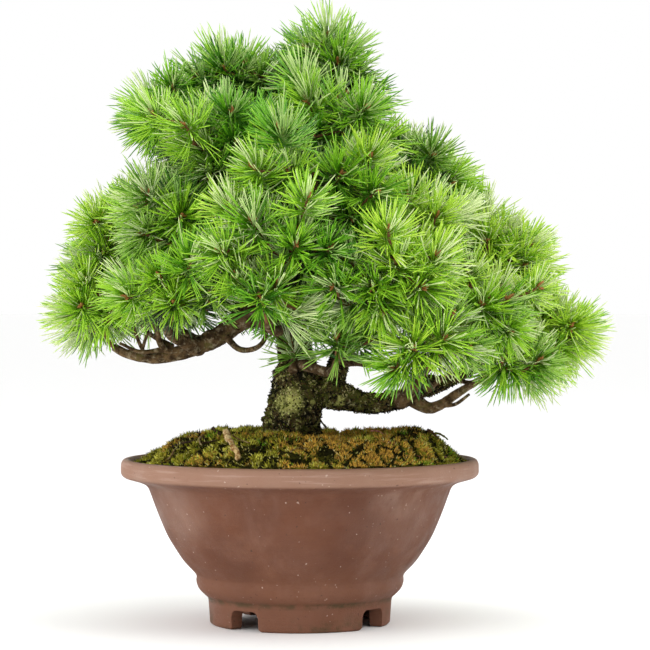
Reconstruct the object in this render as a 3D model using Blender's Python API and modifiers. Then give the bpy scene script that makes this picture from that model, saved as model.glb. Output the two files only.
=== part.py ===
# Japanese white pine bonsai in a round, unglazed training pot.
# Metres, +Z up. The front of the tree faces -Y. The origin lies on the surface that the pot stands on,
# under the middle of the whole plant, so the pot's own axis is a little to the left of it.

import math
import random

import bmesh
import bpy
import numpy as np
from mathutils import Matrix, Vector

COLLECTION = "white_pine_bonsai"
GAP = 0.00033  # clearance between pieces that touch on the real plant
CLEAR = 0.0007  # room kept between foliage and wood, and between two masses
UP = np.array((0.0, 0.0, 1.0))
GOLDEN_ANGLE = math.pi * (3.0 - math.sqrt(5.0))

# Pot: turned outline as (radius, height): floor inside, wall, lip, outer wall, band, foot and recess.
POT_X = -0.0175
POT_STEPS = 32
FLOOR_TOP = 0.0240
RECESS_TOP = 0.0165
POT_INSIDE = (
    (0.0600, FLOOR_TOP),
    (0.0765, 0.0455),
    (0.0935, 0.0790),
    (0.1020, 0.0965),
    (0.1145, 0.1060),
    (0.1180, 0.1135),
)
POT_LIP = (
    (0.1200, 0.1153),
    (0.1238, 0.1143),
    (0.1250, 0.1115),
    (0.1250, 0.1055),
    (0.1232, 0.1028),
    (0.1130, 0.0998),
)
POT_WALL = (
    (0.1062, 0.0960),
    (0.1036, 0.0890),
    (0.0994, 0.0775),
    (0.0924, 0.0607),
    (0.0816, 0.0439),
    (0.0746, 0.0355),
)
POT_BAND = ((0.0722, 0.0320), (0.0710, 0.0262), (0.0668, 0.0213), (0.0644, 0.0187))
POT_FOOT = (
    (0.0637, 0.0150),
    (0.0628, 0.0030),
    (0.0610, 0.0),
    (0.0540, 0.0),
    (0.0535, 0.0150),
    (0.0520, RECESS_TOP),
)

# Four notches divide the foot ring into four feet.
NOTCH_COUNT = 4
NOTCH_FIRST_DEG = -36.7  # from the front, towards +X
NOTCH_WIDTH = 0.0230
NOTCH_HEIGHT = 0.0138
NOTCH_SHOULDER = 0.0042
NOTCH_RADIUS = 0.0580
NOTCH_REACH = 0.0300

# Soil that fills the pot, with moss over it in a low mound.
MOUND_RADIUS = 0.1163
MOUND_EDGE = 0.1120
MOUND_RISE = 0.0230
MOUND_POWER = 4.0
MOUND_ROUND = 0.8
MOUND_RINGS = (0.0, 0.0300, 0.0480, 0.0700, 0.0900, 0.1048, 0.1134, MOUND_RADIUS)
# Swells and dips of the moss: place, spread along X and Y, and height.
MOUND_SWELLS = (
    ((-0.072, 0.000), (0.020, 0.050), 0.0022),
    ((-0.118, 0.000), (0.020, 0.080), -0.0030),
    ((0.022, 0.010), (0.022, 0.070), -0.0046),
    ((0.070, 0.000), (0.028, 0.060), 0.0060),
    ((-0.030, -0.062), (0.030, 0.022), 0.0020),
)
SEAT_RADIUS = 0.0368  # level round the trunk's foot
SEAT_FADE = 0.0120

# Trunk: way points with the radius at each, from the flat cut at the moss to the tip under the apex.
TRUNK_FOOT = 0.1300
TRUNK = (
    ((-0.0240, 0.000, TRUNK_FOOT), 0.0176),
    ((-0.0240, 0.000, 0.1370), 0.0178),
    ((-0.0205, 0.001, 0.1540), 0.0190),
    ((-0.0192, 0.002, 0.1700), 0.0172),
    ((-0.0235, 0.005, 0.1940), 0.0134),
    ((-0.0280, 0.005, 0.2240), 0.0114),
    ((-0.0220, 0.001, 0.2600), 0.0094),
    ((-0.0130, 0.001, 0.3020), 0.0071),
    ((-0.0120, 0.002, 0.3380), 0.0050),
    ((-0.0020, 0.000, 0.3740), 0.0030),
)
TRUNK_RINGS = 20
TRUNK_BEVEL = 5  # 14 sides
ROOT_FLARE = 0.0034
ROOT_LOBES = 5
ROOT_HEIGHT = 0.0085

# Masses of needles: middle, half width, half depth, half height, number of shoots and seed.
MASSES = {
    "apex": ((0.012, 0.000, 0.386), (0.040, 0.036, 0.044), 5, 3),
    "crown_front": ((0.012, -0.055, 0.347), (0.050, 0.034, 0.038), 5, 5),
    "peak_left": ((-0.060, 0.004, 0.378), (0.042, 0.040, 0.038), 4, 8),
    "top_left": ((-0.110, 0.000, 0.355), (0.044, 0.042, 0.038), 5, 2),
    "top_left_front": ((-0.062, -0.062, 0.332), (0.054, 0.038, 0.046), 5, 12),
    "top_back": ((-0.026, 0.072, 0.366), (0.054, 0.038, 0.040), 4, 6),
    "right_shoulder": ((0.068, -0.004, 0.318), (0.044, 0.042, 0.038), 5, 7),
    "upper_front": ((0.000, -0.098, 0.298), (0.064, 0.038, 0.046), 5, 9),
    "right_mid_front": ((0.058, -0.090, 0.272), (0.050, 0.038, 0.044), 4, 10),
    "mid_left": ((-0.094, -0.072, 0.283), (0.052, 0.042, 0.044), 4, 11),
    "left_upper": ((-0.152, -0.005, 0.276), (0.042, 0.044, 0.044), 5, 1),
    "mid_front": ((-0.024, -0.130, 0.258), (0.064, 0.038, 0.040), 5, 13),
    "right_upper": ((0.120, -0.010, 0.261), (0.046, 0.044, 0.042), 5, 14),
    "left_low": ((-0.162, -0.015, 0.221), (0.041, 0.044, 0.044), 5, 15),
    "left_front": ((-0.098, -0.088, 0.230), (0.052, 0.042, 0.042), 4, 16),
    "centre_left_front": ((-0.042, -0.126, 0.220), (0.048, 0.038, 0.040), 4, 17),
    "centre_right_front": ((0.036, -0.126, 0.238), (0.058, 0.038, 0.042), 5, 18),
    "low_centre": ((0.010, -0.104, 0.195), (0.038, 0.032, 0.032), 3, 19),
    "low_right_front": ((0.062, -0.126, 0.198), (0.046, 0.040, 0.044), 5, 20),
    "right_front": ((0.108, -0.094, 0.220), (0.046, 0.040, 0.042), 4, 21),
    "right_end": ((0.160, -0.005, 0.211), (0.040, 0.046, 0.040), 5, 22),
    "right_low": ((0.126, -0.052, 0.184), (0.044, 0.040, 0.034), 4, 23),
    "trunk_tuft": ((-0.022, -0.036, 0.190), (0.024, 0.024, 0.024), 1, 24),
    "back_left_upper": ((-0.116, 0.088, 0.280), (0.054, 0.044, 0.042), 4, 25),
    "back_left_low": ((-0.126, 0.080, 0.222), (0.052, 0.044, 0.038), 4, 26),
    "back_middle": ((-0.040, 0.122, 0.284), (0.058, 0.040, 0.042), 4, 27),
    "back_low_middle": ((-0.012, 0.128, 0.224), (0.060, 0.038, 0.038), 4, 28),
    "back_upper_right": ((0.044, 0.076, 0.318), (0.046, 0.040, 0.038), 3, 29),
    "back_right": ((0.078, 0.106, 0.260), (0.054, 0.042, 0.042), 4, 30),
    "back_low_right": ((0.116, 0.088, 0.210), (0.052, 0.044, 0.038), 4, 31),
}

# Boughs: limb they grow from, height of their root there, radius at root and tip, mass they carry, and the
# way points between, where the bough is seen below the foliage.
BOUGHS = {
    "leader": ("trunk", 0.156, 0.0128, 0.0042, "right_shoulder",
               ((0.0030, -0.002, 0.1640), (0.0105, -0.002, 0.1780), (0.0165, -0.002, 0.1960),
                (0.0300, 0.000, 0.2240), (0.0440, 0.000, 0.2560))),
    "right_low": ("trunk", 0.158, 0.0112, 0.0028, "right_end",
                  ((0.0040, -0.006, 0.1590), (0.0170, -0.010, 0.1560), (0.0310, -0.010, 0.1524),
                   (0.0520, -0.009, 0.1550), (0.0650, -0.008, 0.1610), (0.0870, -0.008, 0.1690),
                   (0.1050, -0.007, 0.1785))),
    "right_lower_arm": ("right_low", 0.0600, 0.0044, 0.0022, "right_low",
                        ((0.0660, -0.011, 0.1530), (0.0735, -0.013, 0.1500), (0.0820, -0.017, 0.1530),
                         (0.0930, -0.023, 0.1600))),
    "right_rising_arm": ("right_low", 0.0520, 0.0048, 0.0024, "right_front",
                         ((0.0590, -0.022, 0.1640), (0.0700, -0.044, 0.1800))),
    "left_low": ("trunk", 0.214, 0.0090, 0.0026, "left_low",
                 ((-0.0500, 0.002, 0.2150), (-0.0620, 0.000, 0.2100), (-0.0760, -0.002, 0.1990),
                  (-0.0960, -0.003, 0.1900), (-0.1190, -0.004, 0.1850), (-0.1370, -0.006, 0.1880))),
    "left_rising_arm": ("left_low", -0.0880, 0.0050, 0.0024, "left_front",
                        ((-0.0960, -0.016, 0.1960), (-0.1060, -0.032, 0.2020), (-0.1080, -0.050, 0.2090))),
    "left_back_arm": ("left_low", -0.0820, 0.0046, 0.0024, "back_left_low",
                      ((-0.0920, 0.018, 0.1980), (-0.1040, 0.040, 0.2040))),
    "top_left": ("trunk", 0.318, 0.0040, 0.0022, "top_left", ()),
    "top_left_front": ("trunk", 0.298, 0.0040, 0.0022, "top_left_front", ()),
    "left_upper": ("trunk", 0.262, 0.0056, 0.0024, "left_upper", ()),
    "mid_left": ("trunk", 0.245, 0.0050, 0.0024, "mid_left", ()),
    "upper_front": ("trunk", 0.280, 0.0044, 0.0022, "upper_front", ()),
    "mid_front": ("trunk", 0.228, 0.0050, 0.0024, "mid_front", ()),
    "centre_left_front": ("trunk", 0.206, 0.0050, 0.0024, "centre_left_front", ()),
    "low_front": ("trunk", 0.181, 0.0042, 0.0022, "low_centre",
                  ((-0.0120, -0.024, 0.1800), (0.0040, -0.036, 0.1765))),
    "back_left_upper": ("trunk", 0.270, 0.0050, 0.0024, "back_left_upper", ()),
    "back_middle": ("trunk", 0.252, 0.0050, 0.0024, "back_middle", ()),
    "back_low_middle": ("trunk", 0.206, 0.0056, 0.0024, "back_low_middle", ()),
    "right_mid_front": ("leader", 0.262, 0.0036, 0.0022, "right_mid_front", ()),
    "right_upper": ("leader", 0.243, 0.0040, 0.0024, "right_upper", ()),
    "centre_right_front": ("leader", 0.214, 0.0044, 0.0024, "centre_right_front", ()),
    "low_right_front": ("leader", 0.185, 0.0048, 0.0024, "low_right_front", ()),
    "back_right": ("leader", 0.225, 0.0044, 0.0024, "back_right", ()),
    "back_low_right": ("leader", 0.197, 0.0048, 0.0024, "back_low_right", ()),
}
SIDE_LIMBS = ("right_low", "left_low")  # limbs that run level: a root on them is placed by X, not by height
LIMB_RINGS = 7
LIMB_BEVEL = 1  # 6 sides
TAPER_POWER = 0.8
ENTRY = 0.62  # how far from its middle a mass is entered, as a share of its size
ROOT_PULL = 0.75
TIP_PULL = 0.60
TIP_LIFT = 0.55

# Masses whose stem grows from the trunk itself, with the height of its root.
TRUNK_STEMS = {
    "apex": 0.374,
    "crown_front": 0.322,
    "peak_left": 0.340,
    "top_back": 0.334,
    "back_upper_right": 0.300,
    "trunk_tuft": 0.188,
}

# Twigs and shoots.
STEM_RADIUS = 0.0020
TWIG_RADIUS = 0.0013
TWIG_TIP_RADIUS = 0.0010
TWIG_SIDES = 3
SEAT_STEPS = 16  # steps that bring the foot of a stem to the trunk's side
TIP_INSET = 0.0260  # how far a shoot's tip lies inside the outline of its mass
CAP_DEG = 118.0  # spread of the shoots round the way that their mass faces
SHOOT_LIFT = 0.40
SHOOT_JITTER = 0.14
SHOOT_APART = 0.0190
RETRIES = 9  # turns tried for a shoot that has no room
RETRY_DEG = 40.0
NEEDLE = 0.0330
NEEDLE_SPREAD = 0.12
NEEDLE_LEAST = 0.0100
NEIGHBOUR_SHARE = 0.48
BUD_RADIUS = 0.0060
BUD_HALF_LENGTH = 0.0080
BUD_HEART = -0.30
FAN_COS = -0.75  # needles stand out of the bud's faces that look further forward than this
TEST_STEPS = 5

COLOURS = {
    "fired_clay": ((0.205, 0.090, 0.058), 0.80),
    "moss": ((0.115, 0.095, 0.020), 0.95),
    "old_bark": ((0.050, 0.045, 0.022), 0.95),
    "bough_bark": ((0.110, 0.070, 0.040), 0.90),
    "needles": ((0.190, 0.360, 0.070), 0.60),
}


def clear_scene():
    for obj in list(bpy.data.objects):
        bpy.data.objects.remove(obj, do_unlink=True)


def new_collection(name):
    collection = bpy.data.collections.new(name)
    bpy.context.scene.collection.children.link(collection)
    return collection


def make_material(name):
    colour, roughness = COLOURS[name]
    material = bpy.data.materials.new(name)
    material.use_nodes = True
    shader = material.node_tree.nodes["Principled BSDF"]
    shader.inputs["Base Color"].default_value = (*colour, 1.0)
    shader.inputs["Roughness"].default_value = roughness
    shader.inputs["Metallic"].default_value = 0.0
    return material


def add_object(name, data, collection, material=None):
    obj = bpy.data.objects.new(name, data)
    collection.objects.link(obj)
    if material is not None:
        data.materials.append(material)
    return obj


def mesh_from(bm, name):
    mesh = bpy.data.meshes.new(name)
    bm.to_mesh(mesh)
    bm.free()
    return mesh


def evaluated_mesh(obj):
    graph = bpy.context.evaluated_depsgraph_get()
    graph.update()
    return bpy.data.meshes.new_from_object(obj.evaluated_get(graph), depsgraph=graph)


def apply_modifiers(obj):
    mesh = evaluated_mesh(obj)
    old = obj.data
    obj.modifiers.clear()
    obj.data = mesh
    bpy.data.meshes.remove(old)


def add_boolean(obj, operation, cutter=None, cutters=None):
    modifier = obj.modifiers.new(operation.lower(), "BOOLEAN")
    modifier.operation = operation
    modifier.solver = "EXACT"
    if cutters is not None:
        modifier.operand_type = "COLLECTION"
        modifier.collection = cutters
    else:
        modifier.object = cutter


def shade(obj, angle_deg=40.0):
    obj.data.shade_smooth()
    obj.data.set_sharp_from_angle(angle=math.radians(angle_deg))


def remove_all(collection):
    for obj in list(collection.objects):
        bpy.data.objects.remove(obj, do_unlink=True)


def turned(name, outline, collection, material):
    # A profile in the XZ plane turned once round Z, with its poles merged.
    bm = bmesh.new()
    verts = [bm.verts.new((r, 0.0, z)) for r, z in outline]
    for a, b in zip(verts, verts[1:]):
        bm.edges.new((a, b))
    obj = add_object(name, mesh_from(bm, name), collection, material)
    screw = obj.modifiers.new("turn", "SCREW")
    screw.steps = POT_STEPS
    screw.render_steps = POT_STEPS
    screw.use_merge_vertices = True
    screw.merge_threshold = 0.00001
    obj.location = (POT_X, 0.0, 0.0)
    apply_modifiers(obj)
    return obj


def inset_profile(points, distance):
    # Moves each point of a profile inward and up by the given distance, square to its neighbours.
    path = np.array(points)
    steps = np.diff(path, axis=0)
    normals = np.stack((-steps[:, 1], steps[:, 0]), axis=1)
    normals /= np.linalg.norm(normals, axis=1)[:, None]
    mitre = np.vstack((normals[:1], normals[:-1] + normals[1:], normals[-1:]))
    mitre /= np.linalg.norm(mitre, axis=1)[:, None]
    return [tuple(p) for p in path + mitre * distance]


def notch_cutter(angle, cutters):
    # A bracket-shaped opening: straight sides, round shoulders, flat top, open below.
    half = NOTCH_WIDTH / 2
    outline = [(-half, -0.004), (half, -0.004), (half, NOTCH_HEIGHT - 2 * NOTCH_SHOULDER)]
    for side in (1, -1):
        corner = (side * (half - NOTCH_SHOULDER), NOTCH_HEIGHT - NOTCH_SHOULDER)
        turns = range(4) if side == 1 else range(3, -1, -1)
        for k in turns:
            a = math.radians(30.0 * k)
            x = corner[0] + side * NOTCH_SHOULDER * math.cos(a)
            outline.append((x, corner[1] + NOTCH_SHOULDER * math.sin(a)))
    outline.append((-half, NOTCH_HEIGHT - 2 * NOTCH_SHOULDER))
    curve = bpy.data.curves.new("notch", "CURVE")
    curve.dimensions = "2D"
    curve.fill_mode = "BOTH"
    curve.extrude = NOTCH_REACH / 2
    spline = curve.splines.new("POLY")
    spline.points.add(len(outline) - 1)
    for point, (x, y) in zip(spline.points, outline):
        point.co = (x, y, 0.0, 1.0)
    spline.use_cyclic_u = True
    flat = add_object("notch_outline", curve, cutters)
    direction = Vector((math.sin(angle), -math.cos(angle), 0.0))
    across = Vector((math.cos(angle), math.sin(angle), 0.0))
    rotation = Matrix((across, Vector((0.0, 0.0, 1.0)), direction)).transposed().to_4x4()
    place = Matrix.Translation(direction * NOTCH_RADIUS + Vector((POT_X, 0.0, 0.0))) @ rotation
    mesh = evaluated_mesh(flat)
    bpy.data.objects.remove(flat, do_unlink=True)
    bm = bmesh.new()
    bm.from_mesh(mesh)
    bmesh.ops.remove_doubles(bm, verts=bm.verts, dist=0.00001)
    bmesh.ops.recalc_face_normals(bm, faces=bm.faces)
    bm.to_mesh(mesh)
    bm.free()
    cutter = add_object("notch", mesh, cutters)
    cutter.matrix_world = place
    cutter.hide_render = True
    cutter.display_type = "WIRE"
    return cutter


def make_pot(parts, cutters, material):
    outline = ((0.0, FLOOR_TOP), *POT_INSIDE, *POT_LIP, *POT_WALL, *POT_BAND, *POT_FOOT, (0.0, RECESS_TOP))
    pot = turned("pot", outline, parts, material)
    for k in range(NOTCH_COUNT):
        angle = math.radians(NOTCH_FIRST_DEG + 360.0 * k / NOTCH_COUNT)
        add_boolean(pot, "DIFFERENCE", cutter=notch_cutter(angle, cutters))
    bpy.context.view_layer.update()
    apply_modifiers(pot)
    remove_all(cutters)
    shade(pot)


def mound_height(x, y):
    # A flattened dome inside the rim, with low swells, cut level where the trunk stands.
    share = np.clip(np.hypot(x - POT_X, y) / MOUND_RADIUS, 0.0, 1.0)
    height = MOUND_EDGE + MOUND_RISE * (1.0 - share**MOUND_POWER) ** MOUND_ROUND
    for (cx, cy), spread, rise in MOUND_SWELLS:
        swell = rise * np.exp(-((x - cx) / spread[0]) ** 2 - ((y - cy) / spread[1]) ** 2)
        height = height + swell * (1.0 - share**MOUND_POWER)
    trunk_x, trunk_y, _ = TRUNK[0][0]
    away = np.hypot(x - trunk_x, y - trunk_y)
    fade = np.clip((away - SEAT_RADIUS) / SEAT_FADE, 0.0, 1.0)
    return (TRUNK_FOOT - GAP) * (1.0 - fade) + height * fade


def make_soil(parts, material):
    top = [(r, 1.0) for r in MOUND_RINGS]
    wall = inset_profile(((0.0, FLOOR_TOP), *POT_INSIDE), GAP)
    wall = [(max(r, 0.0), z) for r, z in wall if z < MOUND_EDGE - 0.004]
    wall[0] = (0.0, FLOOR_TOP + GAP)
    soil = turned("soil_and_moss", top + wall[::-1], parts, material)
    for vertex in soil.data.vertices:
        if vertex.co.z > 0.5:
            vertex.co.z = mound_height(vertex.co.x + POT_X, vertex.co.y)
    shade(soil, 60.0)


def smooth_path(points, count):
    # Catmull-Rom spline through the way points, read at even steps of its length.
    p = np.array(points, dtype=float)
    p = np.vstack((2 * p[0] - p[1], p, 2 * p[-1] - p[-2]))
    t = np.linspace(0.0, 1.0, 12, endpoint=False)[:, None]
    parts = []
    for a, b, c, d in zip(p, p[1:], p[2:], p[3:]):
        bent = (2 * a - 5 * b + 4 * c - d) * t**2 + (3 * b - a - 3 * c + d) * t**3
        parts.append(0.5 * (2 * b + (c - a) * t + bent))
    fine = np.vstack((*parts, p[-2:-1]))
    run = np.concatenate(([0.0], np.cumsum(np.linalg.norm(np.diff(fine[:, :3], axis=0), axis=1))))
    even = np.linspace(0.0, run[-1], count)
    return np.stack([np.interp(even, run, fine[:, k]) for k in range(fine.shape[1])], axis=1)


def trunk_path():
    points = [(*place, radius) for place, radius in TRUNK]
    return smooth_path(points, TRUNK_RINGS)


def point_on(path, name, place):
    # The point of a limb's axis at a height, or at an X where the limb runs level.
    axis = 0 if name in SIDE_LIMBS else 2
    run = path[:, axis]
    order = np.argsort(run)
    return np.array([np.interp(place, run[order], path[order, k]) for k in range(4)])


def bough_path(name, limbs):
    # A visible bough follows its way points. A hidden one leaves its limb level and lifts into its mass.
    parent, place, root_radius, tip_radius, mass, way = BOUGHS[name]
    root = point_on(limbs[parent], parent, place)[:3]
    middle, size, _, _ = MASSES[mass]
    middle = np.array(middle)
    size = np.array(size)
    before = np.array(way[-1]) if way else root
    inward = before - middle
    inward /= np.linalg.norm(inward)
    tip = middle + inward * size * ENTRY - UP * size[2] * 0.15
    if way:
        axis = smooth_path([root, *way, tip], LIMB_RINGS + len(way))
    else:
        span = tip - root
        length = np.linalg.norm(span)
        level = np.array((span[0], span[1], 0.0)) / np.linalg.norm(span[:2])
        leave = level * length * ROOT_PULL + UP * span[2] * 0.4
        arrive = level * length * TIP_PULL + UP * (span[2] * 0.6 + length * TIP_LIFT * 0.5)
        t = np.linspace(0.0, 1.0, LIMB_RINGS)[:, None]
        axis = (root * (2 * t**3 - 3 * t**2 + 1) + leave * (t**3 - 2 * t**2 + t)
                + tip * (3 * t**2 - 2 * t**3) + arrive * (t**3 - t**2))
    share = np.linspace(0.0, 1.0, len(axis))[:, None]
    radius = root_radius + (tip_radius - root_radius) * share**TAPER_POWER
    return np.hstack((axis, radius))


def plan_limbs():
    limbs = {"trunk": trunk_path()}
    for name in BOUGHS:
        limbs[name] = bough_path(name, limbs)
    return limbs


def tube(name, path, bevel, collection, grow=0.0):
    # A tapering tube along a path, as a bevelled curve made into a mesh with its caps welded.
    curve = bpy.data.curves.new(name, "CURVE")
    curve.dimensions = "3D"
    curve.bevel_depth = 1.0
    curve.bevel_resolution = bevel
    curve.use_fill_caps = True
    spline = curve.splines.new("POLY")
    spline.points.add(len(path) - 1)
    for point, (x, y, z, radius) in zip(spline.points, path):
        point.co = (x, y, z, 1.0)
        point.radius = radius + grow
    rod = add_object(name + "_axis", curve, collection)
    mesh = evaluated_mesh(rod)
    bpy.data.objects.remove(rod, do_unlink=True)
    bpy.data.curves.remove(curve)
    bm = bmesh.new()
    bm.from_mesh(mesh)
    bmesh.ops.remove_doubles(bm, verts=bm.verts, dist=0.000001)
    bmesh.ops.recalc_face_normals(bm, faces=bm.faces)
    bm.to_mesh(mesh)
    bm.free()
    mesh.name = name
    return add_object(name, mesh, collection)


def flare_roots(mesh):
    # Levels the cut at the foot of the trunk and pushes it out into a few root swells that fade with height.
    x0, y0, z0 = TRUNK[0][0]
    for vertex in mesh.vertices:
        if vertex.co.z < z0 + 0.003:
            vertex.co.z = z0
        dx = vertex.co.x - x0
        dy = vertex.co.y - y0
        away = math.hypot(dx, dy)
        if away < 0.001:
            continue
        lobe = 0.55 + 0.45 * math.cos(ROOT_LOBES * math.atan2(dy, dx) + 0.8)
        push = ROOT_FLARE * lobe * math.exp(-(vertex.co.z - z0) / ROOT_HEIGHT)
        vertex.co.x += push * dx / away
        vertex.co.y += push * dy / away


def make_trunk(parts, material, path):
    trunk = tube("trunk", path, TRUNK_BEVEL, parts)
    flare_roots(trunk.data)
    trunk.data.materials.append(material)
    shade(trunk, 60.0)


def make_bough(name, limbs, parts, cutters, material):
    # The root end is cut to the shape of the limb it grows from, and of any limb beside it there.
    bough = tube("bough_" + name, limbs[name], LIMB_BEVEL, parts)
    parent = BOUGHS[name][0]
    beside = [parent]
    if name in ("right_low", "low_front"):
        beside.append("leader")
    for limb in beside:
        bevel = TRUNK_BEVEL if limb == "trunk" else LIMB_BEVEL
        add_boolean(bough, "DIFFERENCE", cutter=tube("cut_" + limb, limbs[limb], bevel, cutters, grow=GAP))
    bpy.context.view_layer.update()
    apply_modifiers(bough)
    remove_all(cutters)
    keep_largest(bough.data)
    bough.data.materials.append(material)
    shade(bough, 60.0)


def keep_largest(mesh):
    # Drops the loose scraps that a cut or a union leaves, and keeps the largest piece.
    bm = bmesh.new()
    bm.from_mesh(mesh)
    left = set(bm.verts)
    pieces = []
    while left:
        stack = [left.pop()]
        piece = set(stack)
        while stack:
            for edge in stack.pop().link_edges:
                for vertex in edge.verts:
                    if vertex in left:
                        left.remove(vertex)
                        piece.add(vertex)
                        stack.append(vertex)
        pieces.append(piece)
    pieces.sort(key=len)
    for piece in pieces[:-1]:
        bmesh.ops.delete(bm, geom=list(piece), context="VERTS")
    bm.to_mesh(mesh)
    bm.free()
    return len(pieces) - 1


def room_in_mass(name, points):
    # Distance inside the space of a mass: flat bounds stand between it and every other mass.
    middle, size, _, _ = MASSES[name]
    own = np.sum((points - np.array(middle)) ** 2, axis=1) - np.mean(size) ** 2
    room = np.full(len(points), np.inf)
    for other, (there, extent, _, _) in MASSES.items():
        if other != name:
            far = np.sum((points - np.array(there)) ** 2, axis=1) - np.mean(extent) ** 2
            room = np.minimum(room, (far - own) / (2.0 * np.linalg.norm(np.array(there) - np.array(middle))))
    return room


def room_to_wood(points, limbs):
    # Distance from points to the nearest limb's surface.
    room = np.full(len(points), np.inf)
    for path in limbs.values():
        a = path[:-1, :3]
        run = path[1:, :3] - a
        reach = points[:, None, :] - a[None]
        share = np.clip(np.sum(reach * run, axis=2) / np.sum(run * run, axis=1), 0.0, 1.0)
        gap = np.linalg.norm(reach - share[:, :, None] * run, axis=2)
        radius = path[:-1, 3] + share * (path[1:, 3] - path[:-1, 3])
        room = np.minimum(room, np.min(gap - radius, axis=1))
    return room


def fits(name, a, b, start_radius, end_radius, limbs):
    share = np.linspace(0.0, 1.0, TEST_STEPS)
    points = a + (b - a) * share[:, None]
    radius = start_radius + (end_radius - start_radius) * share + CLEAR
    return bool(np.all(room_in_mass(name, points) > radius) and np.all(room_to_wood(points, limbs) > radius))


def turn_to(way):
    return Vector((0.0, 0.0, 1.0)).rotation_difference(Vector(way)).to_matrix()


def stick_rim(way, radius):
    # Points round the flat end of a stick that sets off along the given way.
    angles = 2.0 * math.pi * np.arange(TWIG_SIDES + 1) / TWIG_SIDES
    corners = np.stack((np.sin(angles), np.cos(angles), np.zeros(TWIG_SIDES + 1)), axis=1) * radius
    rim = [corners[:-1] + np.diff(corners, axis=0) * share for share in (0.0, 0.25, 0.5, 0.75)]
    return np.vstack(rim) @ np.array(turn_to(way)).T


def stem_root(name, limbs, target):
    # Where the stem of a mass starts on its way to the target, clear of the bough's tip or the trunk's side.
    if name == "apex":
        path = limbs["trunk"]
    elif name in TRUNK_STEMS:
        root = point_on(limbs["trunk"], "trunk", TRUNK_STEMS[name])
        way = target - root[:3]
        way /= np.linalg.norm(way)
        rim = stick_rim(way, STEM_RADIUS)
        along = root[3]
        for _ in range(SEAT_STEPS):
            foot = root[:3] + way * along
            along += GAP - float(np.min(room_to_wood(foot + rim, {"trunk": limbs["trunk"]})))
        return root[:3] + way * along
    else:
        path = limbs[next(b for b, row in BOUGHS.items() if row[4] == name)]
    end = path[-1, :3] - path[-2, :3]
    end /= np.linalg.norm(end)
    way = (target - path[-1, :3]) / np.linalg.norm(target - path[-1, :3])
    return path[-1, :3] + end * (GAP + STEM_RADIUS * np.linalg.norm(np.cross(end, way)))


def mass_faces(name):
    # The way that a mass faces: away from the trunk, and up.
    middle = np.array(MASSES[name][0])
    trunk = np.array((-0.016, 0.0, 0.235))
    way = (middle - trunk) * (1.0, 1.0, 0.8)
    return way / np.linalg.norm(way)


def frame_for(axis):
    side = np.cross(axis, (0.31, 0.57, 0.76))
    side /= np.linalg.norm(side)
    return side, np.cross(axis, side)


def shoot_plan(name, limbs):
    # Shoots are spread by the golden angle over a cap of the mass. Each grows on a bent twig from the stem.
    middle, size, count, seed = MASSES[name]
    rng = random.Random(seed)
    middle = np.array(middle)
    spread = np.maximum(np.array(size) - TIP_INSET, 0.004)
    facing = mass_faces(name)
    side, up = frame_for(facing)
    stem_end = middle - facing * spread * 0.2
    root = stem_root(name, limbs, stem_end)
    start_phase = rng.uniform(0.0, 2.0 * math.pi)
    shoots = []
    for k in range(count):
        cos_polar = 1.0 - (1.0 - math.cos(math.radians(CAP_DEG))) * (k + 0.35) / count
        sin_polar = math.sqrt(1.0 - cos_polar**2)
        jitter = np.array([rng.uniform(-1.0, 1.0) for _ in range(3)]) * SHOOT_JITTER
        spin = rng.uniform(0.0, 2.0 * math.pi)
        start = root + (stem_end - root) * (0.55 + 0.40 * cos_polar * cos_polar)
        for retry in range(RETRIES):
            turn = start_phase + GOLDEN_ANGLE * k + math.radians(RETRY_DEG) * retry
            way = facing * cos_polar + (side * math.cos(turn) + up * math.sin(turn)) * sin_polar
            tip = middle + way * spread
            axis = way + UP * SHOOT_LIFT + jitter
            axis /= np.linalg.norm(axis)
            bend = start + (tip - start) * 0.6 - axis * np.linalg.norm(tip - start) * 0.12
            apart = all(np.linalg.norm(tip - row[2]) > SHOOT_APART for row in shoots)
            if apart and fits(name, start, bend, TWIG_RADIUS, TWIG_RADIUS, limbs) and fits(
                    name, bend, tip + axis * BUD_HALF_LENGTH, TWIG_RADIUS, BUD_RADIUS, limbs):
                shoots.append((start, bend, tip, axis, spin))
                break
    return root, stem_end, shoots


def stick(name, a, b, radius_a, radius_b, collection, tip=None):
    # A three-sided tapering stick from a to b, drawn on to a tip past its bend where one is given.
    bm = bmesh.new()
    length = float(np.linalg.norm(b - a))
    bmesh.ops.create_cone(
        bm, cap_ends=True, segments=TWIG_SIDES, radius1=radius_a, radius2=radius_b, depth=length)
    turn = turn_to((b - a) / length).to_4x4()
    bmesh.ops.transform(bm, matrix=Matrix.Translation(Vector((a + b) / 2)) @ turn, verts=bm.verts)
    if tip is not None:
        cap = max(bm.faces, key=lambda face: face.calc_center_median().dot(Vector(b - a)))
        drawn = bmesh.ops.extrude_discrete_faces(bm, faces=[cap])["faces"][0]
        bmesh.ops.translate(bm, vec=Vector(tip - b), verts=drawn.verts)
    return add_object(name, mesh_from(bm, name), collection)


def needle_reach(tip, way, length, others):
    # A needle stops half way to the next shoot of its mass, so the sprays of one mass don't cross.
    for other in others:
        span = other - tip
        towards = float(np.dot(way, span))
        if towards > 0.0:
            length = min(length, NEIGHBOUR_SHARE * float(np.dot(span, span)) / towards)
    return length


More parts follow.
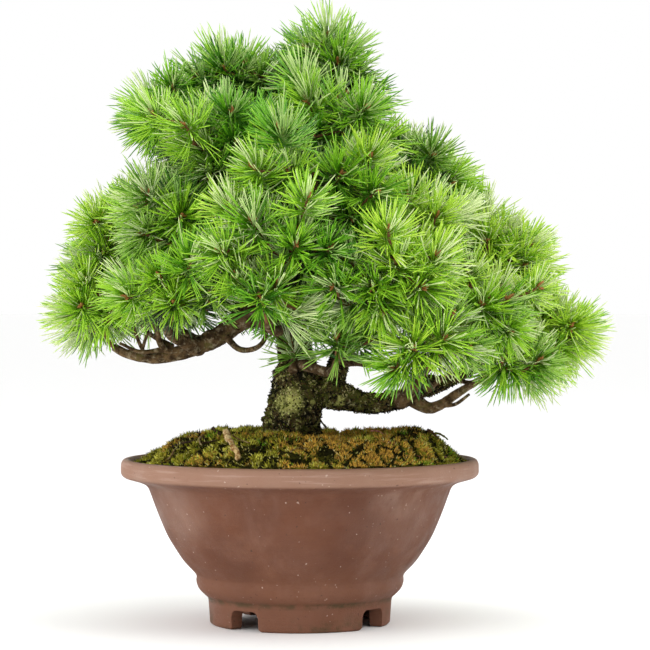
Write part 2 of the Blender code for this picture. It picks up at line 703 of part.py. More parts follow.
def needle_spray(name, mass, tip, axis, spin, others, wood, collection):
    # A slim bud whose forward faces are each drawn out to a needle. A needle that has no room stays flat.
    rng = random.Random(name)
    bm = bmesh.new()
    bmesh.ops.create_icosphere(bm, subdivisions=1, radius=1.0)
    lead = next(iter(bm.faces)).calc_center_median().normalized()
    turn = turn_to(axis)
    upright = lead.rotation_difference(Vector((0.0, 0.0, 1.0))).to_matrix()
    turn = turn @ Matrix.Rotation(spin, 3, "Z") @ upright
    back = turn.inverted()
    along = back @ Vector(axis)
    for vertex in bm.verts:
        height = vertex.co.dot(along)
        vertex.co = (vertex.co - along * height) * BUD_RADIUS + along * height * BUD_HALF_LENGTH
    heart = along * BUD_HALF_LENGTH * BUD_HEART
    bm.faces.ensure_lookup_table()
    for face in list(bm.faces):
        middle = face.calc_center_median()
        way = (middle - heart).normalized()
        length = NEEDLE * (1.0 + rng.uniform(-NEEDLE_SPREAD, NEEDLE_SPREAD))
        length = needle_reach(tip, np.array(turn @ way), length, others)
        end = heart + way * length
        start_world = tip + np.array(turn @ middle)
        end_world = tip + np.array(turn @ end)
        if length < NEEDLE_LEAST or way.dot(along) < FAN_COS:
            continue
        if not fits(mass, start_world, end_world, BUD_RADIUS * 0.3, 0.0, wood):
            continue
        poked = bmesh.ops.poke(bm, faces=[face])
        poked["verts"][0].co = end
    bmesh.ops.triangulate(bm, faces=bm.faces)
    bmesh.ops.transform(bm, matrix=Matrix.Translation(Vector(tip)) @ turn.to_4x4(), verts=bm.verts)
    return add_object(name, mesh_from(bm, name), collection)


def make_mass(name, limbs, parts, cutters, material):
    root, stem_end, shoots = shoot_plan(name, limbs)
    way = (stem_end - root) / np.linalg.norm(stem_end - root)
    mass = stick("foliage_" + name, root, stem_end + way * 0.002, STEM_RADIUS, TWIG_RADIUS, parts)
    twigs = [np.array([(*place, TWIG_RADIUS) for place in row[:3]]) for row in shoots]
    stem = {"stem": np.array([(*root, STEM_RADIUS), (*stem_end, TWIG_RADIUS)])}
    for k, (start, bend, tip, axis, spin) in enumerate(shoots):
        first = (bend - start) / np.linalg.norm(bend - start)
        stick("twig", start - first * 0.0006, bend, TWIG_RADIUS, TWIG_TIP_RADIUS, cutters, tip=tip)
        others = [row[2] for j, row in enumerate(shoots) if j != k]
        beside = {f"twig_{j}": path for j, path in enumerate(twigs) if j != k}
        needle_spray(f"{name}_{k}", name, tip, axis, spin, others, {**limbs, **stem, **beside}, cutters)
    add_boolean(mass, "UNION", cutters=cutters)
    bpy.context.view_layer.update()
    apply_modifiers(mass)
    remove_all(cutters)
    keep_largest(mass.data)
    mass.data.materials.append(material)
    return len(shoots)


def main():
    clear_scene()
    parts = new_collection(COLLECTION)
    cutters = new_collection("cutters")
    materials = {name: make_material(name) for name in COLOURS}
    limbs = plan_limbs()
    make_pot(parts, cutters, materials["fired_clay"])
    make_soil(parts, materials["moss"])
    make_trunk(parts, materials["old_bark"], limbs["trunk"])
    for name in BOUGHS:
        make_bough(name, limbs, parts, cutters, materials["bough_bark"])
    for name in MASSES:
        make_mass(name, limbs, parts, cutters, materials["needles"])


main()
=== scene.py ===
# White pine bonsai in a clay pot: the looks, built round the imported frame.
# Metres, Z up, the front of the tree towards -Y.

import itertools
import math

import bmesh
import bpy
import numpy as np
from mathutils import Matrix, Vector


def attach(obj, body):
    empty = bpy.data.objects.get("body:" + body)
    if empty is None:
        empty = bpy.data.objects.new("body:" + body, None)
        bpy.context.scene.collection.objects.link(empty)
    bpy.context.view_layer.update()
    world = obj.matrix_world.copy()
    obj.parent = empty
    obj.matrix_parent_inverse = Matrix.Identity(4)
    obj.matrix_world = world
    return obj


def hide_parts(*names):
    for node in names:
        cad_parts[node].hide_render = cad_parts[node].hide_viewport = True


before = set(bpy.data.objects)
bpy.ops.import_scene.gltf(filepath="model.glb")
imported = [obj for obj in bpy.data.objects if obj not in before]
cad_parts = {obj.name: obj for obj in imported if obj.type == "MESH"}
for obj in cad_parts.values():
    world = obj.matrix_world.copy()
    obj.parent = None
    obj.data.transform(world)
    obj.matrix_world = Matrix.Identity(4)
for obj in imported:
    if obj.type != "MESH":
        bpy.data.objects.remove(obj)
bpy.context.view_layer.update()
goldenAngle = math.pi * (3.0 - math.sqrt(5.0))
upWay = np.array((0.0, 0.0, 1.0))
print("frame loaded:", len(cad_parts), "nodes")


# camera, light and floor

view = {
    "distance": 1.82,  # from the camera to the middle of the pot, along Y
    "height": 0.2259,
    "lens": 144.0,
    "lookDown": 0.551,  # degrees
}

light = {
    "sky": 1.0,
    "keyPlace": (1.15, -0.55, 1.7),
    "keySize": 1.3,
    "keyPower": 17.0,
    "fillPlace": (-1.5, -0.55, 0.45),
    "fillSize": 1.4,
    "fillPower": 14.5,
    "topPlace": (0.0, 0.25, 1.9),
    "topSize": 1.4,
    "topPower": 10.0,
    "floorColour": (0.985, 0.985, 0.98),
    "floorReach": 40.0,
    "aim": (0.0, 0.0, 0.2),
}


def makeCamera():
    data = bpy.data.cameras.new("photoCamera")
    data.lens = view["lens"]
    data.sensor_width = 36.0
    data.clip_end = 120.0
    camera = bpy.data.objects.new("photoCamera", data)
    camera.location = (0.0, -view["distance"], view["height"])
    camera.rotation_euler = (math.radians(90.0 - view["lookDown"]), 0.0, 0.0)
    bpy.context.scene.collection.objects.link(camera)
    bpy.context.scene.camera = camera


def softBox(name, place, size, power):
    # A square area light that looks at the middle of the tree.
    data = bpy.data.lights.new(name, "AREA")
    data.shape = "SQUARE"
    data.size = size
    data.energy = power
    lamp = bpy.data.objects.new(name, data)
    lamp.location = place
    aim = Vector(light["aim"]) - Vector(place)
    lamp.rotation_euler = aim.to_track_quat("-Z", "Y").to_euler()
    bpy.context.scene.collection.objects.link(lamp)


def makeStudio():
    world = bpy.data.worlds.new("paleRoom")
    world.use_nodes = True
    world.node_tree.nodes["Background"].inputs["Color"].default_value = (1.0, 1.0, 1.0, 1.0)
    world.node_tree.nodes["Background"].inputs["Strength"].default_value = light["sky"]
    bpy.context.scene.world = world
    bpy.context.scene.view_settings.view_transform = "Standard"
    for name in ("key", "fill", "top"):
        softBox(name + "Light", light[name + "Place"], light[name + "Size"], light[name + "Power"])


# tools for arrays, meshes and materials

def unit(vectors):
    # Each vector over its length.
    return vectors / np.maximum(np.linalg.norm(vectors, axis=-1, keepdims=True), 1e-12)


def cellHash(cells, seed):
    # A repeatable random number from 0 to 1 for each whole-number cell.
    c = cells.astype(np.uint64)
    h = c[..., 0] * np.uint64(73856093) ^ c[..., 1] * np.uint64(19349663) ^ c[..., 2] * np.uint64(83492791)
    h = (h ^ np.uint64(seed * 2654435761 + 12345)) * np.uint64(0x9E3779B97F4A7C15)
    h = (h ^ (h >> np.uint64(29))) * np.uint64(0xBF58476D1CE4E5B9)
    return ((h ^ (h >> np.uint64(32))) & np.uint64(0xFFFFFF)).astype(float) / float(0xFFFFFF)


def softNoise(points, scale, seed):
    # Value noise from -1 to 1: random numbers on a lattice, blended by s = 3t^2 - 2t^3 between its corners.
    p = points / scale + 1000.0
    base = np.floor(p)
    t = p - base
    t = t * t * (3.0 - 2.0 * t)
    total = np.zeros(p.shape[:-1])
    for corner in itertools.product((0, 1), repeat=3):
        step = np.array(corner)
        weight = np.prod(np.where(step == 1, t, 1.0 - t), axis=-1)
        total += weight * cellHash(base + step, seed)
    return total * 2.0 - 1.0


def layeredNoise(points, scale, seed, layers=3):
    # Sum of value noises, each of half the scale and half the height of the one before.
    total = np.zeros(points.shape[:-1])
    for k in range(layers):
        total += softNoise(points, scale / 2**k, seed + k) / 2**k
    return total / (2.0 - 2.0 ** (1 - layers))


def cellNoise(points, scale, seed):
    # Distances, in cell widths, to the nearest and second nearest of one random spot in each lattice cell.
    p = points / scale + 1000.0
    base = np.floor(p)
    first = np.full(p.shape[:-1], 9.0)
    second = np.full(p.shape[:-1], 9.0)
    for corner in itertools.product((-1, 0, 1), repeat=3):
        cell = base + np.array(corner)
        spot = cell + np.stack([cellHash(cell, seed + 7 * k) for k in range(3)], axis=-1)
        away = np.linalg.norm(p - spot, axis=-1)
        second = np.minimum(second, np.maximum(first, away))
        first = np.minimum(first, away)
    return first, second


def smoothStep(low, high, values):
    # 3t^2 - 2t^3, with t from 0 at low to 1 at high.
    t = np.clip((values - low) / (high - low), 0.0, 1.0)
    return t * t * (3.0 - 2.0 * t)


def makePiece(name, points, faces, materials, faceMaterial=None, smooth=True):
    # Builds a mesh object from arrays of points and of faces with three or four corners each.
    data = bpy.data.meshes.new(name)
    data.vertices.add(len(points))
    data.vertices.foreach_set("co", np.ascontiguousarray(points, np.float32).ravel())
    counts = np.concatenate([np.full(len(f), f.shape[1]) for f in faces])
    corners = np.concatenate([f.ravel() for f in faces])
    data.loops.add(len(corners))
    data.loops.foreach_set("vertex_index", corners.astype(np.int32))
    data.polygons.add(len(counts))
    starts = np.concatenate(([0], np.cumsum(counts)[:-1]))
    data.polygons.foreach_set("loop_start", starts.astype(np.int32))
    for material in materials:
        data.materials.append(material)
    if faceMaterial is not None:
        data.polygons.foreach_set("material_index", faceMaterial.astype(np.int32))
    data.polygons.foreach_set("use_smooth", np.full(len(counts), smooth))
    data.update(calc_edges=True)
    data.validate()
    piece = bpy.data.objects.new(name, data)
    bpy.context.scene.collection.objects.link(piece)
    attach(piece, "root")
    return piece


def ringFaces(rings, sides, start=0):
    # Quads between neighbouring rings of a grid that closes on itself round the path.
    i = np.arange(rings - 1)[:, None] * sides
    j = np.arange(sides)[None]
    k = (j + 1) % sides
    return start + np.stack((i + j, i + k, i + sides + k, i + sides + j), axis=-1).reshape(-1, 4)


def capFaces(ring, pole, flip):
    # Triangles from each edge of a ring to its pole.
    ahead = np.roll(ring, -1)
    fan = np.stack((ahead, ring, np.full(len(ring), pole)), axis=1)
    return fan[:, ::-1] if flip else fan


def closedGrid(grid):
    # Points and faces of a grid of rings whose two end rings are each closed to a pole at their middle.
    rings, sides, _ = grid.shape
    points = np.vstack((grid.reshape(-1, 3), grid[0].mean(axis=0)[None], grid[-1].mean(axis=0)[None]))
    first = capFaces(np.arange(sides), rings * sides, False)
    last = capFaces(np.arange(sides) + (rings - 1) * sides, rings * sides + 1, True)
    return points, ringFaces(rings, sides), np.vstack((first, last))


def newMaterial(name, colour, roughness, specular=0.4):
    material = bpy.data.materials.new(name)
    material.use_nodes = True
    shader = material.node_tree.nodes["Principled BSDF"]
    shader.inputs["Base Color"].default_value = (*colour, 1.0)
    shader.inputs["Roughness"].default_value = roughness
    shader.inputs["Specular IOR Level"].default_value = specular
    return material


def addNode(tree, kind, values=None, **settings):
    node = tree.nodes.new(kind)
    for key, value in settings.items():
        setattr(node, key, value)
    for key, value in (values or {}).items():
        node.inputs[key].default_value = value
    return node


def objectCoords(tree, scale=(1.0, 1.0, 1.0), move=(0.0, 0.0, 0.0)):
    # Object coordinates, moved and then scaled.
    coords = addNode(tree, "ShaderNodeTexCoord")
    mapping = addNode(tree, "ShaderNodeMapping", {"Location": move, "Scale": scale})
    tree.links.new(coords.outputs["Object"], mapping.inputs["Vector"])
    return mapping.outputs["Vector"]


def noiseMask(tree, scale, low, high, detail=4.0, roughness=0.6, stretch=(1.0, 1.0, 1.0), seed=0.0):
    # Noise on Object coordinates, cut to a mask that runs from 0 at low to 1 at high.
    noise = addNode(tree, "ShaderNodeTexNoise", {"Scale": scale, "Detail": detail, "Roughness": roughness})
    tree.links.new(objectCoords(tree, stretch, (seed, 0.0, 0.0)), noise.inputs["Vector"])
    return rangeMask(tree, noise.outputs["Fac"], low, high)


def rangeMask(tree, value, low, high):
    # A value cut to a mask that runs from 0 at low to 1 at high by s = 3t^2 - 2t^3.
    ends = {"From Min": low, "From Max": high}
    mask = addNode(tree, "ShaderNodeMapRange", ends, interpolation_type="SMOOTHSTEP")
    tree.links.new(value, mask.inputs["Value"])
    return mask.outputs["Result"]


def heightMask(tree, low, high):
    # A mask that runs from 0 at one height to 1 at another.
    split = addNode(tree, "ShaderNodeSeparateXYZ")
    tree.links.new(objectCoords(tree), split.inputs["Vector"])
    return rangeMask(tree, split.outputs["Z"], low, high)


def spotMask(tree, place, spread):
    # A mask of 1 at a place that falls to 0 at the given distance along each axis.
    scale = tuple(1.0 / s for s in spread)
    move = tuple(-p / s for p, s in zip(place, spread))
    length = addNode(tree, "ShaderNodeVectorMath", operation="LENGTH")
    tree.links.new(objectCoords(tree, scale, move), length.inputs[0])
    return rangeMask(tree, length.outputs["Value"], 1.0, 0.15)


def multiply(tree, first, second):
    # A node for the product of two masks, or of a mask and a number.
    node = addNode(tree, "ShaderNodeMath", operation="MULTIPLY")
    for socket, value in zip(node.inputs, (first, second)):
        if isinstance(value, float):
            socket.default_value = value
        else:
            tree.links.new(value, socket)
    return node.outputs["Value"]


def mixColours(tree, mask, first, second, blend="MIX"):
    # Blends two colours by a mask. Each is a colour or the output of another node.
    node = addNode(tree, "ShaderNodeMix", data_type="RGBA", blend_type=blend)
    if isinstance(mask, float):
        node.inputs["Factor"].default_value = mask
    else:
        tree.links.new(mask, node.inputs["Factor"])
    for socket, colour in ((node.inputs[6], first), (node.inputs[7], second)):
        if isinstance(colour, tuple):
            socket.default_value = (*colour, 1.0)
        else:
            tree.links.new(colour, socket)
    return node.outputs[2]


def paint(tree, colour, mask, share, over):
    # Lays one colour over another where a mask is, at a share of its strength: c + m s (o - c).
    return mixColours(tree, multiply(tree, mask, share), colour, over)


def finishMaterial(material, colour, heights=(), roughness=None):
    # Joins a colour, bumps given as (height output, depth in metres) and a roughness to the shader.
    tree = material.node_tree
    shader = tree.nodes["Principled BSDF"]
    tree.links.new(colour, shader.inputs["Base Color"])
    normal = None
    for height, depth in heights:
        bump = addNode(tree, "ShaderNodeBump", {"Strength": 1.0, "Distance": depth})
        tree.links.new(height, bump.inputs["Height"])
        if normal is not None:
            tree.links.new(normal, bump.inputs["Normal"])
        normal = bump.outputs["Normal"]
    if normal is not None:
        tree.links.new(normal, shader.inputs["Normal"])
    if roughness is not None:
        tree.links.new(roughness, shader.inputs["Roughness"])


def linear(red, green, blue):
    # A colour given as it looks on screen, 0 to 255, turned into the light values that the shader takes.
    return tuple(float(c) for c in (np.array((red, green, blue)) / 255.0) ** 2.2)


def makeFloor():
    # A level square of four points.
    reach = light["floorReach"]
    corners = [(x * reach, y * reach, 0.0) for x, y in ((-1, -1), (1, -1), (1, 1), (-1, 1))]
    data = bpy.data.meshes.new("floor")
    data.from_pydata(corners, [], [(0, 1, 2, 3)])
    floor = bpy.data.objects.new("floor", data)
    data.materials.append(newMaterial("paleFloor", light["floorColour"], 0.8, 0.1))
    bpy.context.scene.collection.objects.link(floor)


makeCamera()
makeStudio()
makeFloor()
print("camera, light and floor made")


# the pot

pot = {
    "middleX": -0.0175,
    # the turned outline: radius, height and how far the corner is rounded
    "outline": (
        (0.06, 0.024, 0.003), (0.0765, 0.0455, 0.006), (0.0935, 0.079, 0.006), (0.102, 0.0965, 0.004),
        (0.1145, 0.106, 0.003), (0.118, 0.1135, 0.002), (0.1198, 0.1153, 0.0016), (0.1236, 0.1149, 0.002),
        (0.1252, 0.112, 0.0022), (0.1252, 0.105, 0.0024), (0.1232, 0.1026, 0.0022), (0.113, 0.0998, 0.003),
        (0.1066, 0.0968, 0.004), (0.1036, 0.089, 0.006), (0.0994, 0.0775, 0.006), (0.0924, 0.0607, 0.007),
        (0.0816, 0.0439, 0.007), (0.074, 0.0362, 0.003), (0.0722, 0.0335, 0.0022), (0.0728, 0.03, 0.003),
        (0.0712, 0.0248, 0.003), (0.0668, 0.0205, 0.0022), (0.0646, 0.0188, 0.0014), (0.064, 0.016, 0.002),
        (0.063, 0.001, 0.001), (0.0616, 0.0, 0.0008), (0.054, 0.0, 0.001), (0.0535, 0.015, 0.0016),
        (0.052, 0.0165, 0.0014),
    ),
    "columns": 288,
    "longestStep": 0.0035,
    "notchCount": 4,
    "notchFirst": -36.7,  # degrees from the front
    "notchHalfWidth": 0.0115,
    "notchHeight": 0.0138,
    "notchShoulder": 0.0048,
    "footCorner": 0.003,
    "footRadius": 0.0632,
    "footRange": (0.0525, 0.0655, 0.0185),  # inner and outer radius and top of what a notch can raise
    "weld": 0.00001,
    "sharpest": 50.0,  # degrees between faces that still look smooth
    "wobble": 0.00035,
    "clay": linear(107, 67, 48),
    "clayDark": linear(94, 58, 42),
    "clayPale": linear(126, 86, 66),
    "lip": linear(150, 115, 96),
    "lipWorn": linear(188, 160, 146),
    # painted light: a pale clay colour laid on as a highlight on the upper right of the wall and as lit
    # patches on its left and right
    "paintedLight": linear(150, 120, 105),
    "algae": linear(66, 58, 34),
}


def roundedOutline(outline, longest):
    # Each corner becomes an arc a (1-t)^2 + 2 c t (1-t) + b t^2 about it, and straights are divided.
    rows = np.array(outline)
    places = rows[:, :2]
    out = [places[0]]
    for before, here, after, rounding in zip(places, places[1:], places[2:], rows[1:-1, 2]):
        back, ahead = before - here, after - here
        reach = min(rounding, 0.48 * np.linalg.norm(back), 0.48 * np.linalg.norm(ahead))
        a = here + back / np.linalg.norm(back) * reach
        b = here + ahead / np.linalg.norm(ahead) * reach
        t = np.linspace(0.0, 1.0, 6)[:, None]
        out.extend(a * (1 - t) ** 2 + here * 2 * t * (1 - t) + b * t**2)
    out.append(places[-1])
    fine = [out[0]]
    for a, b in zip(out, out[1:]):
        steps = max(1, int(math.ceil(np.linalg.norm(b - a) / longest)))
        fine.extend(a + (b - a) * k / steps for k in range(1, steps + 1))
    return np.array(fine)


def notchColumns():
    # Angles of the grid's columns: even ones, with extra ones where the notches begin and end.
    half = math.asin(pot["notchHalfWidth"] / pot["footRadius"])
    corner = pot["footCorner"] / pot["footRadius"]
    shoulder = pot["notchShoulder"] / pot["footRadius"]
    angles = np.linspace(0.0, 2.0 * math.pi, pot["columns"], endpoint=False)
    extra = []
    for k in range(pot["notchCount"]):
        middle = math.radians(pot["notchFirst"] - 90.0 + 360.0 * k / pot["notchCount"])
        away = np.abs((angles - middle + math.pi) % (2.0 * math.pi) - math.pi)
        angles = angles[away > half + corner]
        steps = np.concatenate((
            half - shoulder * np.sin(np.linspace(0.5, 0.0, 7) * math.pi),
            half + 0.0006 + corner * (1.0 - np.cos(np.linspace(0.0, 0.5, 6) * math.pi))))
        extra.extend((middle + steps, middle - steps, middle + np.linspace(-0.8, 0.8, 5) * (half - shoulder)))
    return np.sort(np.concatenate((angles, *extra)) % (2.0 * math.pi)), half, corner, shoulder


def notchCeiling(angles, half, corner, shoulder):
    # Lowest height of the foot at each angle: a notch's top and round shoulders, or a foot's round corner.
    ceiling = np.zeros(len(angles))
    for k in range(pot["notchCount"]):
        middle = math.radians(pot["notchFirst"] - 90.0 + 360.0 * k / pot["notchCount"])
        away = np.abs((angles - middle + math.pi) % (2.0 * math.pi) - math.pi)
        past = np.clip((away - (half - shoulder)) / shoulder, 0.0, 1.0)
        arch = pot["notchHeight"] - pot["notchShoulder"] * (1.0 - np.sqrt(1.0 - past**2))
        ceiling = np.where(away <= half + 0.0003, arch, ceiling)
        into = np.clip((half + 0.0006 + corner - away) / corner, 0.0, 1.0)
        foot = pot["footCorner"] * (1.0 - np.sqrt(1.0 - into**2))
        ceiling = np.where((away > half + 0.0003) & (away < half + corner + 0.001), foot, ceiling)
    return ceiling


def potMaterial():
    material = newMaterial("firedClay", pot["clay"], 0.62, 0.35)
    tree = material.node_tree
    colour = mixColours(tree, noiseMask(tree, 14.0, 0.35, 0.7, 5.0), pot["clay"], pot["clayDark"])
    colour = paint(tree, colour, noiseMask(tree, 33.0, 0.48, 0.72, 6.0, seed=3.0), 0.45, pot["clayPale"])
    grain = noiseMask(tree, 900.0, 0.35, 0.75, 2.0)
    colour = paint(tree, colour, grain, 0.16, pot["clayDark"])
    colour = paint(tree, colour, heightMask(tree, 0.05, 0.026), 0.42, pot["clayPale"])
    colour = paint(tree, colour, heightMask(tree, 0.1015, 0.1042), 0.8, pot["lip"])
    worn = multiply(tree, noiseMask(tree, 60.0, 0.5, 0.66, 5.0, stretch=(0.35, 0.35, 7.0), seed=15.0),
                    heightMask(tree, 0.1015, 0.1042))
    colour = paint(tree, colour, worn, 0.26, pot["lipWorn"])
    # painted highlight on the upper right of the wall, mottled by noise
    highlightSpot = spotMask(tree, (0.052, -0.078, 0.0915), (0.036, 0.04, 0.017))
    paintedLight = multiply(tree, highlightSpot, noiseMask(tree, 60.0, 0.3, 0.72, 6.0, stretch=(1.0, 1.0, 0.5)))
    colour = paint(tree, colour, paintedLight, 0.55, pot["paintedLight"])
    # painted light: lit patches on the left and on the right of the wall
    sunny = multiply(tree, spotMask(tree, (-0.105, -0.055, 0.082), (0.04, 0.06, 0.04)), 0.34)
    colour = mixColours(tree, sunny, colour, pot["paintedLight"])
    paintedLightRight = multiply(tree, spotMask(tree, (0.06, -0.07, 0.075), (0.05, 0.06, 0.034)), 0.16)
    colour = mixColours(tree, paintedLightRight, colour, pot["paintedLight"])
    darkSpecks = noiseMask(tree, 420.0, 0.735, 0.775, 1.0, seed=5.0)
    colour = paint(tree, colour, darkSpecks, 0.75, linear(62, 44, 36))
    paleSpecks = noiseMask(tree, 360.0, 0.745, 0.785, 1.0, seed=9.0)
    colour = paint(tree, colour, paleSpecks, 0.6, linear(196, 172, 158))
    streaks = noiseMask(tree, 26.0, 0.52, 0.8, 5.0, stretch=(1.0, 1.0, 0.12), seed=13.0)
    colour = paint(tree, colour, streaks, 0.16, linear(170, 140, 126))
    groove = multiply(tree, heightMask(tree, 0.0215, 0.019), heightMask(tree, 0.015, 0.018))
    groove = multiply(tree, groove, 0.75)
    colour = paint(tree, colour, groove, noiseMask(tree, 90.0, 0.36, 0.62, 5.0), pot["algae"])
    damp = multiply(tree, heightMask(tree, 0.016, 0.002), noiseMask(tree, 70.0, 0.48, 0.66, 5.0, seed=2.0))
    colour = paint(tree, colour, damp, 0.55, pot["algae"])
    rings = addNode(tree, "ShaderNodeTexNoise", {"Scale": 30.0, "Detail": 4.0, "Roughness": 0.55})
    tree.links.new(objectCoords(tree, (0.12, 0.12, 9.0)), rings.inputs["Vector"])
    rough = rangeMask(tree, noiseMask(tree, 40.0, 0.2, 0.8, 5.0, seed=21.0), -1.4, 1.6)
    finishMaterial(material, colour, ((grain, 0.00012), (rings.outputs["Fac"], 0.00045)), rough)
    return material


def makePot():
    # The outline turned round its axis, x = m + r cos a, y = r sin a, with the foot raised where a notch is.
    outline = roundedOutline(pot["outline"], pot["longestStep"])
    angles, half, corner, shoulder = notchColumns()
    ceiling = notchCeiling(angles, half, corner, shoulder)
    radius = np.repeat(outline[:, :1], len(angles), axis=1)
    height = np.repeat(outline[:, 1:], len(angles), axis=1)
    inner, outer, top = pot["footRange"]
    foot = (radius > inner) & (radius < outer) & (height < top)
    height = np.where(foot, np.maximum(height, ceiling[None]), height)
    ways = np.stack((np.cos(angles), np.sin(angles)), axis=1)
    grid = np.stack((radius * ways[None, :, 0], radius * ways[None, :, 1], height), axis=-1)
    sway = layeredNoise(grid, 0.06, 41, 2) * pot["wobble"] * smoothStep(0.02, 0.05, height)
    grid[..., :2] *= (1.0 + sway / np.maximum(radius, 0.02))[..., None]
    grid[..., 0] += pot["middleX"]
    points, quads, fans = closedGrid(grid)
    piece = makePiece("potClay", points, (quads, fans), (potMaterial(),))
    tidy(piece, pot["weld"])
    piece.data.set_sharp_from_angle(angle=math.radians(pot["sharpest"]))
    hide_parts("pot")


def tidy(piece, distance):
    # Merges points that lie on each other, drops faces with no area and turns all faces outwards.
    bm = bmesh.new()
    bm.from_mesh(piece.data)
    bmesh.ops.remove_doubles(bm, verts=bm.verts, dist=distance)
    bmesh.ops.dissolve_degenerate(bm, edges=bm.edges, dist=distance)
    bmesh.ops.recalc_face_normals(bm, faces=bm.faces)
    bm.to_mesh(piece.data)
    bm.free()


makePot()
print("pot made")


# where the limbs and masses are, as in the solids

trunkWay = (  # x, y, z and radius
    (-0.024, 0, 0.13, 0.0176),
    (-0.024, 0, 0.137, 0.0178),
    (-0.0205, 0.001, 0.154, 0.019),
    (-0.0192, 0.002, 0.17, 0.0172),
    (-0.0235, 0.005, 0.194, 0.0134),
    (-0.028, 0.005, 0.224, 0.0114),
    (-0.022, 0.001, 0.26, 0.0094),
    (-0.013, 0.001, 0.302, 0.0071),
    (-0.012, 0.002, 0.338, 0.005),
    (-0.002, 0, 0.374, 0.003),
)

# each mass of needles: its CAD node, middle, half sizes and seed
masses = {
    "apex": ("foliage_apex", (0.012, 0, 0.386), (0.04, 0.036, 0.044), 3),
    "crownFront": ("foliage_crown_front", (0.012, -0.055, 0.347), (0.05, 0.034, 0.038), 5),
    "peakLeft": ("foliage_peak_left", (-0.06, 0.004, 0.378), (0.042, 0.04, 0.038), 8),
    "topLeft": ("foliage_top_left", (-0.11, 0, 0.355), (0.044, 0.042, 0.038), 2),
    "topLeftFront": ("foliage_top_left_front", (-0.062, -0.062, 0.332), (0.054, 0.038, 0.046), 12),
    "topBack": ("foliage_top_back", (-0.026, 0.072, 0.366), (0.054, 0.038, 0.04), 6),
    "rightShoulder": ("foliage_right_shoulder", (0.068, -0.004, 0.318), (0.044, 0.042, 0.038), 7),
    "upperFront": ("foliage_upper_front", (0, -0.098, 0.298), (0.064, 0.038, 0.046), 9),
    "rightMidFront": ("foliage_right_mid_front", (0.058, -0.09, 0.272), (0.05, 0.038, 0.044), 10),
    "midLeft": ("foliage_mid_left", (-0.094, -0.072, 0.283), (0.052, 0.042, 0.044), 11),
    "leftUpper": ("foliage_left_upper", (-0.152, -0.005, 0.276), (0.042, 0.044, 0.044), 1),
    "midFront": ("foliage_mid_front", (-0.024, -0.13, 0.258), (0.064, 0.038, 0.04), 13),
    "rightUpper": ("foliage_right_upper", (0.12, -0.01, 0.261), (0.046, 0.044, 0.042), 14),
    "leftLow": ("foliage_left_low", (-0.162, -0.015, 0.221), (0.041, 0.044, 0.044), 15),
    "leftFront": ("foliage_left_front", (-0.098, -0.088, 0.23), (0.052, 0.042, 0.042), 16),
    "centreLeftFront": ("foliage_centre_left_front", (-0.042, -0.126, 0.22), (0.048, 0.038, 0.04), 17),
    "centreRightFront": ("foliage_centre_right_front", (0.036, -0.126, 0.238), (0.058, 0.038, 0.042), 18),
    "lowCentre": ("foliage_low_centre", (0.01, -0.104, 0.195), (0.038, 0.032, 0.032), 19),
    "lowRightFront": ("foliage_low_right_front", (0.062, -0.126, 0.198), (0.046, 0.04, 0.044), 20),
    "rightFront": ("foliage_right_front", (0.108, -0.094, 0.22), (0.046, 0.04, 0.042), 21),
    "rightEnd": ("foliage_right_end", (0.16, -0.005, 0.211), (0.04, 0.046, 0.04), 22),
    "rightLow": ("foliage_right_low", (0.126, -0.052, 0.184), (0.044, 0.04, 0.034), 23),
    "trunkTuft": ("foliage_trunk_tuft", (-0.022, -0.036, 0.19), (0.024, 0.024, 0.024), 24),
    "backLeftUpper": ("foliage_back_left_upper", (-0.116, 0.088, 0.28), (0.054, 0.044, 0.042), 25),
    "backLeftLow": ("foliage_back_left_low", (-0.126, 0.08, 0.222), (0.052, 0.044, 0.038), 26),
    "backMiddle": ("foliage_back_middle", (-0.04, 0.122, 0.284), (0.058, 0.04, 0.042), 27),
    "backLowMiddle": ("foliage_back_low_middle", (-0.012, 0.128, 0.224), (0.06, 0.038, 0.038), 28),
    "backUpperRight": ("foliage_back_upper_right", (0.044, 0.076, 0.318), (0.046, 0.04, 0.038), 29),
    "backRight": ("foliage_back_right", (0.078, 0.106, 0.26), (0.054, 0.042, 0.042), 30),
    "backLowRight": ("foliage_back_low_right", (0.116, 0.088, 0.21), (0.052, 0.044, 0.038), 31),
}

